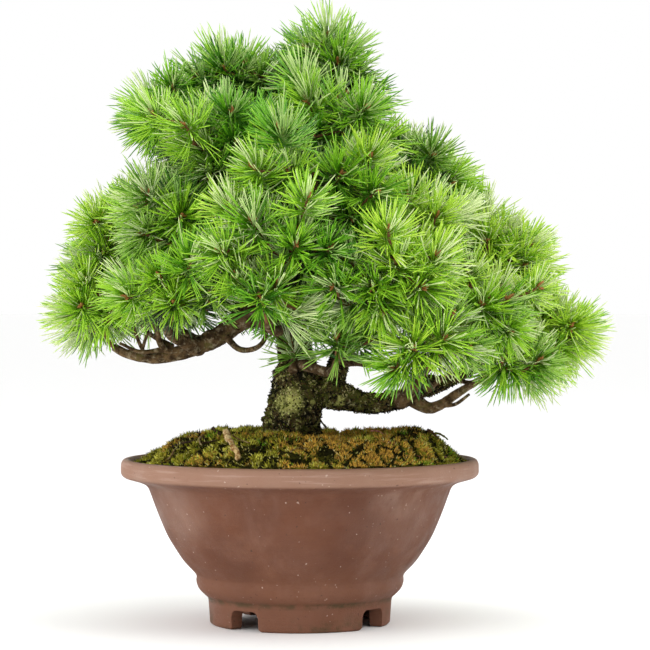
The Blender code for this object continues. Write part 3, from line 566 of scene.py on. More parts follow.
# each bough: its CAD node, parent, place on it, radius at root and tip, mass it carries and way points
boughs = {
    "leader": ("bough_leader", "trunk", 0.156, 0.0128, 0.0042, "rightShoulder", (
        (0.003, -0.002, 0.164), (0.0105, -0.002, 0.178), (0.0165, -0.002, 0.196),
        (0.03, 0, 0.224), (0.044, 0, 0.256),
    )),
    "rightLow": ("bough_right_low", "trunk", 0.158, 0.0112, 0.0028, "rightEnd", (
        (0.004, -0.006, 0.159), (0.017, -0.01, 0.156), (0.031, -0.01, 0.1524),
        (0.052, -0.009, 0.155), (0.065, -0.008, 0.161), (0.087, -0.008, 0.169),
        (0.105, -0.007, 0.1785),
    )),
    "rightLowerArm": ("bough_right_lower_arm", "rightLow", 0.06, 0.0044, 0.0022, "rightLow", (
        (0.066, -0.011, 0.153), (0.0735, -0.013, 0.15), (0.082, -0.017, 0.153),
        (0.093, -0.023, 0.16),
    )),
    "rightRisingArm": ("bough_right_rising_arm", "rightLow", 0.052, 0.0048, 0.0024, "rightFront", (
        (0.059, -0.022, 0.164), (0.07, -0.044, 0.18),
    )),
    "leftLow": ("bough_left_low", "trunk", 0.214, 0.009, 0.0026, "leftLow", (
        (-0.05, 0.002, 0.215), (-0.062, 0, 0.21), (-0.076, -0.002, 0.199),
        (-0.096, -0.003, 0.19), (-0.119, -0.004, 0.185), (-0.137, -0.006, 0.188),
    )),
    "leftRisingArm": ("bough_left_rising_arm", "leftLow", -0.088, 0.005, 0.0024, "leftFront", (
        (-0.096, -0.016, 0.196), (-0.106, -0.032, 0.202), (-0.108, -0.05, 0.209),
    )),
    "leftBackArm": ("bough_left_back_arm", "leftLow", -0.082, 0.0046, 0.0024, "backLeftLow", (
        (-0.092, 0.018, 0.198), (-0.104, 0.04, 0.204),
    )),
    "topLeft": ("bough_top_left", "trunk", 0.318, 0.004, 0.0022, "topLeft", ()),
    "topLeftFront": ("bough_top_left_front", "trunk", 0.298, 0.004, 0.0022, "topLeftFront", ()),
    "leftUpper": ("bough_left_upper", "trunk", 0.262, 0.0056, 0.0024, "leftUpper", ()),
    "midLeft": ("bough_mid_left", "trunk", 0.245, 0.005, 0.0024, "midLeft", ()),
    "upperFront": ("bough_upper_front", "trunk", 0.28, 0.0044, 0.0022, "upperFront", ()),
    "midFront": ("bough_mid_front", "trunk", 0.228, 0.005, 0.0024, "midFront", ()),
    "centreLeftFront": ("bough_centre_left_front", "trunk", 0.206, 0.005, 0.0024, "centreLeftFront", ()),
    "lowFront": ("bough_low_front", "trunk", 0.181, 0.0042, 0.0022, "lowCentre", (
        (-0.012, -0.024, 0.18), (0.004, -0.036, 0.1765),
    )),
    "backLeftUpper": ("bough_back_left_upper", "trunk", 0.27, 0.005, 0.0024, "backLeftUpper", ()),
    "backMiddle": ("bough_back_middle", "trunk", 0.252, 0.005, 0.0024, "backMiddle", ()),
    "backLowMiddle": ("bough_back_low_middle", "trunk", 0.206, 0.0056, 0.0024, "backLowMiddle", ()),
    "rightMidFront": ("bough_right_mid_front", "leader", 0.262, 0.0036, 0.0022, "rightMidFront", ()),
    "rightUpper": ("bough_right_upper", "leader", 0.243, 0.004, 0.0024, "rightUpper", ()),
    "centreRightFront": ("bough_centre_right_front", "leader", 0.214, 0.0044, 0.0024, "centreRightFront", ()),
    "lowRightFront": ("bough_low_right_front", "leader", 0.185, 0.0048, 0.0024, "lowRightFront", ()),
    "backRight": ("bough_back_right", "leader", 0.225, 0.0044, 0.0024, "backRight", ()),
    "backLowRight": ("bough_back_low_right", "leader", 0.197, 0.0048, 0.0024, "backLowRight", ()),
}

# masses whose stem grows from the trunk itself, with the height of its root
trunkStems = {
    "apex": 0.374, "crownFront": 0.322, "peakLeft": 0.34,
    "topBack": 0.334, "backUpperRight": 0.3, "trunkTuft": 0.188,
}
levelLimbs = ("rightLow", "leftLow")  # a root on these is placed by X instead of height


def smoothPath(rows, step):
    # Catmull-Rom curve 0.5(2b + (c-a)t + (2a-5b+4c-d)t^2 + (3b-a-3c+d)t^3), read at even steps of length.
    p = np.array(rows, dtype=float)
    p = np.vstack((2 * p[0] - p[1], p, 2 * p[-1] - p[-2]))
    t = np.linspace(0.0, 1.0, 16, endpoint=False)[:, None]
    runs = []
    for a, b, c, d in zip(p, p[1:], p[2:], p[3:]):
        bent = (2 * a - 5 * b + 4 * c - d) * t**2 + (3 * b - a - 3 * c + d) * t**3
        runs.append(0.5 * (2 * b + (c - a) * t + bent))
    fine = np.vstack((*runs, p[-2:-1]))
    run = np.concatenate(([0.0], np.cumsum(np.linalg.norm(np.diff(fine[:, :3], axis=0), axis=1))))
    even = np.linspace(0.0, run[-1], max(6, int(run[-1] / step)))
    return np.stack([np.interp(even, run, fine[:, k]) for k in range(fine.shape[1])], axis=1)


def pointOn(path, name, place):
    # The point and radius of a limb at a height, or at an X on a level limb.
    axis = 0 if name in levelLimbs else 2
    order = np.argsort(path[:, axis])
    return np.array([np.interp(place, path[order, axis], path[order, k]) for k in range(4)])


def boughPath(name, limbs, step):
    # A seen bough follows its way points. A hidden one is a cubic Hermite curve that leaves its limb level,
    # p(2t^3-3t^2+1) + u(t^3-2t^2+t) + q(3t^2-2t^3) + v(t^3-t^2), and lifts into its mass.
    _, parent, place, rootRadius, tipRadius, mass, way = boughs[name]
    root = pointOn(limbs[parent], parent, place)[:3]
    middle, half = np.array(masses[mass][1]), np.array(masses[mass][2])
    inward = unit((np.array(way[-1]) if way else root) - middle)
    tip = middle + inward * half * 0.62 - upWay * half[2] * 0.15
    if way:
        axis = smoothPath([root, *way, tip], step)
    else:
        span = tip - root
        length = np.linalg.norm(span)
        level = np.array((span[0], span[1], 0.0)) / np.linalg.norm(span[:2])
        leave = level * length * 0.75 + upWay * span[2] * 0.4
        arrive = level * length * 0.6 + upWay * (span[2] * 0.6 + length * 0.275)
        t = np.linspace(0.0, 1.0, max(6, int(length / step)))[:, None]
        axis = (root * (2 * t**3 - 3 * t**2 + 1) + leave * (t**3 - 2 * t**2 + t)
                + tip * (3 * t**2 - 2 * t**3) + arrive * (t**3 - t**2))
    share = np.linspace(0.0, 1.0, len(axis))[:, None]
    return np.hstack((axis, rootRadius + (tipRadius - rootRadius) * share**0.8))


def planLimbs():
    # The trunk's path and each bough's, in the order in which they grow from each other.
    limbs = {"trunk": smoothPath(trunkWay, 0.0012)}
    for name in boughs:
        limbs[name] = boughPath(name, limbs, 0.0016)
    return limbs


def roomInMass(name, points):
    # Distance inside a mass's own space: flat bounds stand between it and every other mass.
    middle, half = np.array(masses[name][1]), np.array(masses[name][2])
    own = np.sum((points - middle) ** 2, axis=1) - half.mean() ** 2
    room = np.full(len(points), np.inf)
    for other, (_, there, extent, _) in masses.items():
        if other != name:
            far = np.sum((points - np.array(there)) ** 2, axis=1) - np.mean(extent) ** 2
            room = np.minimum(room, (far - own) / (2.0 * np.linalg.norm(np.array(there) - middle)))
    return room


def roomToWood(points, limbs):
    # Distance from points to the nearest limb's surface.
    room = np.full(len(points), np.inf)
    for path in limbs.values():
        away = np.linalg.norm(points[:, None] - path[None, ::3, :3], axis=2) - path[None, ::3, 3]
        room = np.minimum(room, away.min(axis=1))
    return room


limbs = planLimbs()
print("limbs planned:", len(limbs))


# shoots, twigs and needles

shoot = {
    "tipInset": 0.0205,  # how far a shoot's tip lies inside the reach of its mass
    # shells of tips: share of the reach, shoots tried, degrees round the way that the mass faces, most room
    # to the next mass's space (the last shells only fill the gaps between masses) and distance apart
    "shells": (
        (1.0, 48, 125.0, 9.0, 0.0162), (0.6, 18, 125.0, 9.0, 0.016),
        (1.5, 60, 100.0, 0.03, 0.02), (2.1, 80, 95.0, 0.026, 0.021),
    ),
    "seenRoom": 0.0215,  # round a shoot that faces the viewer, where no other stands as near
    "seenDepth": 0.01,
    "rimStep": 0.0185,  # between the shoots that draw the crown's outline
    "rimDepth": 0.012,
    "lift": 0.45,
    "towardsView": 0.55,
    "outwards": 1.3,
    "tuftLean": (-0.3, -0.45, 0.7),
    "leastOut": 0.35,
    "jitter": 0.18,
    "woodRoom": 0.0045,
    # shoots that close the crown's hull: ways tried, cone round a way (its cosine) and share of the reach
    "hullWays": 900,
    "hullCone": 0.93,
    "hullShare": 0.93,
    # share of the hull, kind of shoot there (1 is an inner, sparser and darker one) and distance apart
    "hullShells": ((1.0, 2, 0.0195), (0.86, 1, 0.0195), (0.7, 1, 0.0215), (0.55, 1, 0.025)),
    "front": -0.155,  # no tip stands further out in y than these
    "back": 0.154,
    "stemRadius": 0.0018,
    "twigRadius": 0.0013,
    "twigTip": 0.001,
    "twigSides": 5,
    "crownMiddle": (-0.016, 0.0, 0.235),  # what the masses face away from
    "hullMiddle": (-0.016, 0.0, 0.245),
    "seenApart": 0.011,
    "leastRoom": 0.001,
    "scatter": 0.0016,
}

# the crown's outline as the viewer sees it, a tuft's radius inside the needles' ends, in millimetres right
# of the view's axis and above the ground, from the low left over the top to the low right
crownRim = (
    (-168, 203), (-179, 210), (-179, 222), (-172, 240), (-161, 262), (-161, 283), (-147, 290), (-128, 299),
    (-108, 305), (-98, 321), (-112, 341), (-126, 346), (-131, 360), (-118, 368), (-104, 377), (-84, 386),
    (-66, 396), (-36, 380), (-19, 387), (-11, 407), (1, 413), (13, 407), (18, 390), (26, 377), (32, 365),
    (29, 352), (34, 334), (66, 331), (80, 321), (89, 307), (97, 291), (121, 280), (144, 266), (146, 241),
    (151, 222), (182, 205), (170, 190), (157, 181),
)
# the lower edge of the foliage, back from right to left
crownSkirt = (
    (150, 172), (122, 176), (80, 188), (63, 185), (52, 178), (38, 190), (24, 199), (14, 195), (-10, 201),
    (-44, 217), (-65, 226), (-88, 220), (-130, 214), (-158, 208),
)

# shoots that face the viewer, placed in the same way
seenShoots = (
    (-106, 377), (-71, 388), (-65, 358), (-42, 383), (-13, 366), (9, 393), (28, 360), (-27, 317), (-62, 337),
    (11, 314), (43, 334), (74, 328), (58, 299), (89, 308), (-100, 285), (-126, 302), (-160, 281), (-52, 283),
    (-20, 266), (19, 282), (112, 268), (141, 250), (-116, 243), (-62, 243), (-34, 238), (5, 236), (51, 253),
    (109, 224), (-155, 259), (-168, 240), (61, 192), (8, 200), (32, 197), (-24, 197), (-150, 217),
    (-170, 222), (-139, 228), (-106, 225), (-78, 232), (-46, 229), (48, 178), (124, 183),
    (150, 215), (172, 208), (130, 204), (150, 184), (-8, 340), (32, 327), (78, 285), (99, 250), (69, 235),
    (84, 200), (102, 192), (-74, 260), (-128, 272), (-80, 312), (4, 262), (53, 184), (-120, 250), (150, 236),
)


def massFaces(middle):
    # The way from the crown's middle to a mass, a little flattened.
    return unit((middle - np.array(shoot["crownMiddle"])) * (1.0, 1.0, 0.8))


def frameFor(axis):
    # Two ways square to an axis: the cross product with a fixed skew way, and the cross product with that.
    side = unit(np.cross(axis, (0.31, 0.57, 0.76)))
    return side, np.cross(axis, side)


def onViewPlane(points):
    # Where points show on the plane y = 0 through the tree: x d / (d + y), and the same for the height.
    scale = view["distance"] / (view["distance"] + points[..., 1])
    return points[..., 0] * scale, view["height"] + (points[..., 2] - view["height"]) * scale


def insideCrown(points):
    # Whether points are inside the crown's outline: a level ray from one meets it an odd number of times.
    x, z = onViewPlane(points)
    edge = np.array(crownRim + crownSkirt) / 1000.0
    inside = np.zeros(x.shape, dtype=bool)
    for (ax, az), (bx, bz) in zip(edge, np.roll(edge, -1, axis=0)):
        if az != bz:
            meets = ((az > z) != (bz > z)) & (x < (bx - ax) * (z - az) / (bz - az) + ax)
            inside = inside ^ meets
    return inside


def fromViewPlane(x, z, y):
    # The point at depth y that shows at a place on the view plane: x (d + y) / d.
    scale = (view["distance"] + y) / view["distance"]
    return np.array((x * scale, y, view["height"] + (z - view["height"]) * scale))


def massPlan(names):
    # Middles, half sizes and places on the view plane of masses, and a function of x and z there that gives
    # each mass's distance in half sizes, squared.
    middles = np.array([masses[n][1] for n in names])
    halves = np.array([masses[n][2] for n in names])
    planeX, planeZ = onViewPlane(middles)

    def off(x, z):
        return ((x - planeX) / halves[:, 0]) ** 2 + ((z - planeZ) / halves[:, 2]) ** 2

    return middles, halves, planeX, planeZ, off


def rimTips():
    # Shoots at even steps along the outline, as deep as the mass there, each facing square out of it.
    rim = np.array(crownRim) / 1000.0
    run = np.concatenate(([0.0], np.cumsum(np.linalg.norm(np.diff(rim, axis=0), axis=1))))
    even = np.linspace(0.0, run[-1], int(run[-1] / shoot["rimStep"]))
    line = np.stack([np.interp(even, run, rim[:, k]) for k in range(2)], axis=1)
    along = unit(np.gradient(line, axis=0))
    names = list(masses)
    middles, _, _, _, off = massPlan(names)
    rng = np.random.default_rng(40)
    found = []
    for (x, z), (dx, dz) in zip(line, along):
        k = int(np.argmin(off(x, z) + (middles[:, 1] / 0.06) ** 2))
        y = middles[k, 1] + rng.uniform(-1.0, 1.0) * shoot["rimDepth"]
        found.append((names[k], fromViewPlane(x, z, y), np.array((-dz, 0.0, dx)) * shoot["outwards"]))
    return found


def seenTips():
    # Each seen shoot goes to the mass in front there, on its near side: y = m - r sqrt(1 - u^2 - v^2).
    names = [n for n in masses if not n.startswith("back") and n != "topBack"]
    middles, halves, planeX, planeZ, off = massPlan(names)
    found = []
    for x, z in np.array(seenShoots) / 1000.0:
        k = int(np.argmin(off(x, z) + middles[:, 1] * 4.0))
        spread = halves[k] - shoot["tipInset"]
        inside = 1.0 - ((x - planeX[k]) / (spread[0] * 1.5)) ** 2 - ((z - planeZ[k]) / (spread[2] * 1.5)) ** 2
        y = middles[k, 1] - spread[1] * math.sqrt(max(inside, 0.0))
        lean = shoot["tuftLean"] if names[k] == "trunkTuft" else (0.0, -shoot["towardsView"], 0.0)
        found.append((names[k], fromViewPlane(x, z, y), np.array(lean)))
    return found


def beforeSeen(points, seen):
    # Whether points would stand in front of a shoot that faces the viewer, or beside it at the same depth.
    x, z = onViewPlane(points)
    seenX, seenZ = onViewPlane(seen)
    near = np.hypot(x[:, None] - seenX, z[:, None] - seenZ) < shoot["seenRoom"]
    return np.any(near & (points[:, None, 1] < seen[None, :, 1] + shoot["seenDepth"]), axis=1)


def hullTips(kept):
    # Tips on a smooth hull round the crown: along each way of a golden-angle sphere the reach is the mean
    # distance of the three outermost tips within a cone, so that the hollows between the masses close.
    centre = np.array(shoot["hullMiddle"])
    k = np.arange(shoot["hullWays"])
    level = 1.0 - 1.25 * (k + 0.5) / shoot["hullWays"]
    turn = goldenAngle * k
    flatPart = np.sqrt(1.0 - level**2)
    ways = np.stack([flatPart * np.cos(turn), flatPart * np.sin(turn), level], axis=1)
    span = kept[1:] - centre
    far = np.linalg.norm(span, axis=1)
    seen = (ways @ (span / far[:, None]).T > shoot["hullCone"]) * far
    reach = np.sort(seen, axis=1)[:, -3:].mean(axis=1) * shoot["hullShare"]
    return centre + ways * reach[:, None]


def nearestMass(tip):
    # The mass whose middle is nearest to a tip, in half sizes.
    names = [n for n in masses if n != "trunkTuft"]
    off = [np.linalg.norm((tip - np.array(masses[n][1])) / np.array(masses[n][2])) for n in names]
    return names[int(np.argmin(off))]


def mayStand(tips, seen):
    # Whether tips stay inside the crown's outline and depth, clear of the limbs and of the seen shoots.
    fine = insideCrown(tips) & ~beforeSeen(tips, seen) & (roomToWood(tips, limbs) > shoot["woodRoom"])
    return fine & (tips[:, 1] > shoot["front"]) & (tips[:, 1] < shoot["back"])


def planShoots():
    # Tips spread by the golden angle over shells of a mass, cos(polar) = 1 - (1 - cos(cap)) (k + 0.35) / n.
    # A tip that would leave its mass's space or the crown's outline, meet a limb or crowd another is skipped.
    kept = np.full((1, 3), 9.0)
    rows = []
    for name, tip, lean in seenTips() + rimTips():
        if np.linalg.norm(kept - tip, axis=1).min() > shoot["seenApart"]:
            kept = np.vstack((kept, tip))
            rows.append((name, tip, 0, lean))
    seen = np.array([row[1] for row in rows if row[3][1] < 0.0])
    for shell, (reach, count, cap, mostRoom, apart) in enumerate(shoot["shells"]):
        for name, (_, middle, half, seed) in masses.items():
            if name == "trunkTuft":
                continue
            rng = np.random.default_rng(seed * 10 + shell)
            middle = np.array(middle)
            spread = np.maximum(np.array(half) - shoot["tipInset"], 0.004) * reach
            facing = massFaces(middle)
            side, up = frameFor(facing)
            k = np.arange(count)
            polar = 1.0 - (1.0 - math.cos(math.radians(cap))) * (k + 0.35) / count
            turn = goldenAngle * k + rng.uniform(0.0, 2.0 * math.pi)
            ring = side * np.cos(turn)[:, None] + up * np.sin(turn)[:, None]
            ways = facing * polar[:, None] + ring * np.sqrt(1.0 - polar**2)[:, None]
            tips = middle + ways * spread + rng.normal(0.0, shoot["scatter"], (count, 3))
            room = roomInMass(name, tips)
            fine = (room > shoot["leastRoom"]) & (room < mostRoom) & mayStand(tips, seen)
            for tip in tips[fine]:
                if np.linalg.norm(kept - tip, axis=1).min() > apart:
                    kept = np.vstack((kept, tip))
                    rows.append((name, tip, shell, np.zeros(3)))
        print("shell", shell, "shoots so far:", len(rows))
    for share, shell, apart in shoot["hullShells"]:
        tips = hullTips(kept)
        tips = tips + (np.array(shoot["hullMiddle"]) - tips) * (1.0 - share)
        for tip in tips[mayStand(tips, seen)]:
            if np.linalg.norm(kept - tip, axis=1).min() > apart:
                kept = np.vstack((kept, tip))
                rows.append((nearestMass(tip), tip, shell, np.zeros(3)))
        print("hull", share, "shoots so far:", len(rows))
    return rows


def growTwigs(rows):
    # In each mass, tips are joined from the nearest outwards: each grows from the point of the twigs so far
    # that costs least, distance times (1 + turn), on a cubic Bezier curve that leaves along its parent.
    twigs = []
    axes = [None] * len(rows)
    for name, (_, middle, half, seed) in masses.items():
        rng = np.random.default_rng(seed + 500)
        middle, half = np.array(middle), np.array(half)
        own = [k for k, row in enumerate(rows) if row[0] == name]
        if not own:
            continue
        bough = next((b for b, row in boughs.items() if row[5] == name), None)
        if name in trunkStems:
            root = pointOn(limbs["trunk"], "trunk", trunkStems[name])[:3]
            start = unit(middle - root)
        else:
            root = limbs[bough][-1, :3]
            start = unit(limbs[bough][-1, :3] - limbs[bough][-4, :3])
        stemEnd = middle - massFaces(middle) * (half - shoot["tipInset"]) * 0.5
        stem = bezier(root, start, stemEnd, unit(stemEnd - root), 9)
        twigs.append((stem, shoot["stemRadius"], shoot["twigRadius"]))
        points, ways = stem[2:], unit(np.gradient(stem, axis=0))[2:]
        own.sort(key=lambda k: np.linalg.norm(rows[k][1] - stemEnd))
        for k in own:
            _, tip, _, lean = rows[k]
            out = (tip - middle) / half
            out = out / max(np.linalg.norm(out), shoot["leastOut"])
            axis = unit(out + lean + upWay * shoot["lift"] + rng.uniform(-1.0, 1.0, 3) * shoot["jitter"])
            axes[k] = axis
            span = tip - points
            far = np.linalg.norm(span, axis=1)
            turned = 1.0 - np.sum(unit(span) * ways, axis=1)
            cost = far * (1.0 + 0.7 * turned) + np.where(far < 0.007, 0.05, 0.0)
            j = int(np.argmin(cost))
            leave = unit(ways[j] + unit(span[j]) * 0.9)
            path = bezier(points[j], leave, tip, axis, 8)
            twigs.append((path, shoot["twigRadius"], shoot["twigTip"]))
            points = np.vstack((points, path[2:-1]))
            ways = np.vstack((ways, unit(np.gradient(path, axis=0))[2:-1]))
    return twigs, np.array(axes)


def bezier(a, leave, b, arrive, count):
    # Cubic Bezier curve from a to b whose ends point along the given ways, with handles 0.36 of the span.
    length = np.linalg.norm(b - a)
    t = np.linspace(0.0, 1.0, count)[:, None]
    c, d = a + leave * length * 0.36, b - arrive * length * 0.36
    return a * (1 - t) ** 3 + c * 3 * t * (1 - t) ** 2 + d * 3 * t**2 * (1 - t) + b * t**3


def manyTubes(paths, radii, sides, reference):
    # Tubes along many paths at once: each ring is p + r (s cos a + o sin a), with s square to the path and
    # the reference. A path's last point is its tube's pointed end, and a flat cap closes the first ring.
    count, rings, _ = paths.shape
    along = unit(np.gradient(paths, axis=1))
    side = unit(np.cross(along, reference[:, None]))
    other = np.cross(side, along)
    turn = 2.0 * math.pi * np.arange(sides) / sides
    ring = side[:, :, None] * np.cos(turn)[:, None] + other[:, :, None] * np.sin(turn)[:, None]
    grid = paths[:, :-1, None] + ring[:, :-1] * radii[:, :-1, None, None]
    points = np.concatenate((grid.reshape(count, -1, 3), paths[:, -1:]), axis=1)
    each = (rings - 1) * sides + 1
    quads = ringFaces(rings - 1, sides)
    tip = capFaces(np.arange(sides) + (rings - 2) * sides, each - 1, True)
    cap = np.array([(0, k + 1, k) for k in range(1, sides - 1)])
    step = np.arange(count)[:, None, None] * each
    faces = [(step + part[None]).reshape(-1, part.shape[1]) for part in (quads, tip, cap)]
    return points.reshape(-1, 3), faces


needle = {
    "length": 0.0232,
    "lengthSpread": 0.12,
    "width": 0.00047,  # half width
    "groups": 26,  # each group is five needles
    "brush": 0.014,  # length of shoot that carries needles
    "tipAngle": 17.0,
    "baseAngle": 94.0,
    "angleSpread": 9.0,
    "groupSpread": 0.115,
    "curl": 0.2,
    "droop": 0.03,
    "budRadius": 0.0017,
    "shootsInPiece": 95,
    "innerShare": 0.52,  # of the groups, on shoots inside the crown
    "shadedShare": 0.28,  # share of needles painted in shade all over, in the base's colour
    "pale": 0.06,  # share of needles that show their paler side all round, its pale lines partly painted highlight
    "needleSeed": 900,
    "stemRadius": 0.0008,
    "inBundle": 5,
    "shortest": -0.3,  # shares of the length
    "longest": 0.18,
}

# greens dealt out by spray, Sunlit to Shade being lit and shaded copies of one green (painted light and
# shade):
# outer side, base of the needle (darker, painted shade) and inner, paler side (its pale lines, made paler as
# painted highlight)
greens = {
    "Sunlit": (linear(186, 226, 68), linear(134, 186, 34), linear(224, 238, 172)),
    "WellLit": (linear(167, 218, 56), linear(116, 172, 28), linear(213, 231, 160)),
    "Bright": (linear(143, 202, 46), linear(90, 152, 24), linear(199, 221, 144)),
    "Middle": (linear(116, 182, 39), linear(66, 128, 19), linear(176, 208, 122)),
    "Deep": (linear(86, 148, 33), linear(42, 95, 15), linear(146, 187, 98)),
    "Shade": (linear(50, 84, 20), linear(26, 50, 10), linear(88, 116, 52)),
    "Bloom": (linear(152, 196, 78), linear(96, 146, 36), linear(208, 222, 168)),
}
barkBrown = linear(118, 86, 56)


def growNeedles(tips, axes, seed):
    # Needles of many shoots at once. Group k stands at angle k g round the shoot, g the golden angle, and at
    # a polar angle that opens from tip to base. Each is p + w s L + c s^2 L, curled towards the shoot's tip.
    rng = np.random.default_rng(seed)
    shoots = len(tips)
    groups = needle["groups"]
    side, up = np.zeros((shoots, 3)), np.zeros((shoots, 3))
    for k, axis in enumerate(axes):
        side[k], up[k] = frameFor(axis)
    share = (np.arange(groups)[None] + rng.uniform(0.0, 1.0, (shoots, groups))) / groups
    spread = np.radians(rng.normal(0.0, needle["angleSpread"], (shoots, groups)))
    polar = np.radians(needle["tipAngle"] + (needle["baseAngle"] - needle["tipAngle"]) * share**0.7) + spread
    turn = goldenAngle * np.arange(groups)[None] + rng.uniform(0.0, 6.28, (shoots, 1))
    turn = turn + rng.normal(0.0, 0.15, (shoots, groups))
    around = side[:, None] * np.cos(turn)[..., None] + up[:, None] * np.sin(turn)[..., None]
    ways = axes[:, None] * np.cos(polar)[..., None] + around * np.sin(polar)[..., None]
    roots = (tips[:, None] - axes[:, None] * (share * needle["brush"])[..., None]
             + around * needle["stemRadius"])
    ways = ways[:, :, None] + rng.normal(0.0, needle["groupSpread"], (shoots, groups, needle["inBundle"], 3))
    ways = unit(ways).reshape(-1, 3)
    roots = np.repeat(roots.reshape(-1, 3), needle["inBundle"], axis=0)
    each = groups * needle["inBundle"]
    axis = np.repeat(axes, each, axis=0)
    size = np.clip(np.repeat(rng.normal(1.0, 0.09, (shoots, 1)), each, axis=1).ravel(), 0.84, 1.1)
    differ = rng.normal(0.0, needle["lengthSpread"], len(ways))
    length = needle["length"] * size * (1.0 + np.clip(differ, needle["shortest"], needle["longest"]))
    towards = unit(axis - ways * np.sum(axis * ways, axis=1)[:, None])
    curl = towards * needle["curl"] * rng.uniform(0.0, 1.6, (len(ways), 1))
    curl = curl - upWay * needle["droop"] + rng.normal(0.0, 0.065, (len(ways), 3))
    s = np.array((0.0, 0.42, 0.9, 1.0))
    bent = ways[:, None] * s[None, :, None] + curl[:, None] * (s**2)[None, :, None]
    paths = roots[:, None] + bent * length[:, None, None]
    radii = needle["width"] * np.array((0.7, 1.0, 0.84, 0.0))[None] * np.ones((len(ways), 1))
    reference = unit(np.cross(ways, axis) + 1e-6)
    reference = unit(np.cross(reference, ways))
    return paths, radii, reference


def budShapes(tips, axes, seed):
    # A slim bud at each shoot's tip with two small ones beside it: radius r sin(pi s)^0.6 along its length.
    rng = np.random.default_rng(seed)
    s = np.array((0.0, 0.22, 0.5, 0.76, 1.0))
    paths, radii = [], []
    for k in range(3):
        lean = rng.normal(0.0, 1.0, (len(tips), 3)) * (0.0 if k == 0 else 1.0)
        way = unit(axes + lean * 0.55)
        length = (0.0062 if k == 0 else 0.0044) * rng.uniform(0.8, 1.2, (len(tips), 1, 1))
        start = tips - axes * 0.0012 + unit(lean + 1e-9) * (0.0 if k == 0 else 0.001)
        paths.append(start[:, None] + way[:, None] * s[None, :, None] * length)
        thick = needle["budRadius"] * (1.0 if k == 0 else 0.7)
        radii.append(np.ones((len(tips), 1)) * thick * np.array((0.75, 1.0, 0.86, 0.52, 0.0))[None])
    reference = np.tile(frameFor(np.array((0.2, 0.3, 0.9)))[0], (len(tips) * 3, 1))
    return np.vstack(paths), np.vstack(radii), reference


def dealGreens(rows):
    # Which green a spray gets, as painted light and shade: the lighter ones at the crown's sides and upper
    # parts, the deeper, shaded ones inside.
    rng = np.random.default_rng(77)
    names = list(greens)
    deal = []
    for name, tip, shell, _ in rows:
        middle, half = np.array(masses[name][1]), np.array(masses[name][2])
        high = (tip[2] - middle[2]) / half[2]
        wide = min(abs(tip[0] - shoot["crownMiddle"][0]) / 0.12, 1.2)
        upper = min(max((tip[2] - 0.28) / 0.08, 0.0), 1.0)
        score = 2.6 - 1.9 * wide - high * 1.2 + 0.4 * upper + (3.0 if shell == 1 else 0.0)
        score += rng.normal(0.0, 0.7)
        score += 0.6 * min(max(-tip[0] / 0.08, 0.0), 1.0) * upper
        score -= 0.7 * min(max(tip[0] / 0.06, 0.0), 1.0) * (1.0 - upper)
        pick = int(np.clip(round(score), 0, 5 if shell == 1 else 4))
        if (rng.uniform() < 0.12 and shell == 0) or name == "trunkTuft":
            pick = 6
        deal.append(names[pick])
    return np.array(deal)


def makeFoliage():
    # Needles in pieces by green, then the buds and the twigs. On an inner shoot only some groups are kept,
    # those whose number times 0.618 has its fraction under the inner share.
    rows = planShoots()
    twigs, axes = growTwigs(rows)
    tips = np.array([row[1] for row in rows])
    print("shoots:", len(rows), "twigs:", len(twigs))
    deal = dealGreens(rows)
    shells = np.array([row[2] for row in rows])
    nodes = [row[0] for row in masses.values()]
    total = 0
    for k, (name, (outer, base, inner)) in enumerate(greens.items()):
        looks = [newMaterial("needle" + name + part, colour, 0.38, 0.5)
                 for part, colour in (("Outer", outer), ("Base", base), ("Inner", inner))]
        chosen = np.flatnonzero(deal == name)
        for part, start in enumerate(range(0, len(chosen), needle["shootsInPiece"])):
            own = chosen[start:start + needle["shootsInPiece"]]
            paths, radii, reference = growNeedles(tips[own], axes[own], needle["needleSeed"] + 10 * k + part)
            group = np.tile(np.repeat(np.arange(needle["groups"]), needle["inBundle"]), len(own))
            full = np.repeat(shells[own] != 1, needle["groups"] * needle["inBundle"])
            keep = full | ((group * 0.618) % 1.0 < needle["innerShare"])
            paths, radii, reference = paths[keep], radii[keep], reference[keep]
            points, faces = manyTubes(paths, radii, 3, reference)
            tubes = len(paths)
            tone = np.random.default_rng(k * 7 + part).uniform(size=tubes)[:, None]
            slots = []
            # two rings of quads, three at the base and three in the middle, then the tip's faces and the cap
            # slot 1, the base's darker colour, is painted shade near the shoot; slot 2 is the inner, paler
            # side
            for faceSlots in ((1, 1, 2, 0, 0, 2), (0, 0, 2), (1,)):
                dealt = np.tile(faceSlots, (tubes, 1))
                dealt = np.where((dealt == 0) & (tone < needle["shadedShare"]), 1, dealt)
                dealt = np.where((dealt != 2) & (tone > 1.0 - needle["pale"]), 2, dealt)
                slots.append(dealt.ravel())
            slots = np.concatenate(slots)
            piece = makePiece("needles" + name + str(part + 1), points, faces, looks, slots)
            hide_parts(*nodes)
            total += tubes
    print("needles:", total)
    paths, radii, reference = budShapes(tips, axes, 31)
    points, faces = manyTubes(paths, radii, 5, reference)
    buds = makePiece("buds", points, faces, (newMaterial("budScale", linear(164, 110, 62), 0.55, 0.3),))
    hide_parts(*nodes)
    makeTwigs(twigs, nodes)


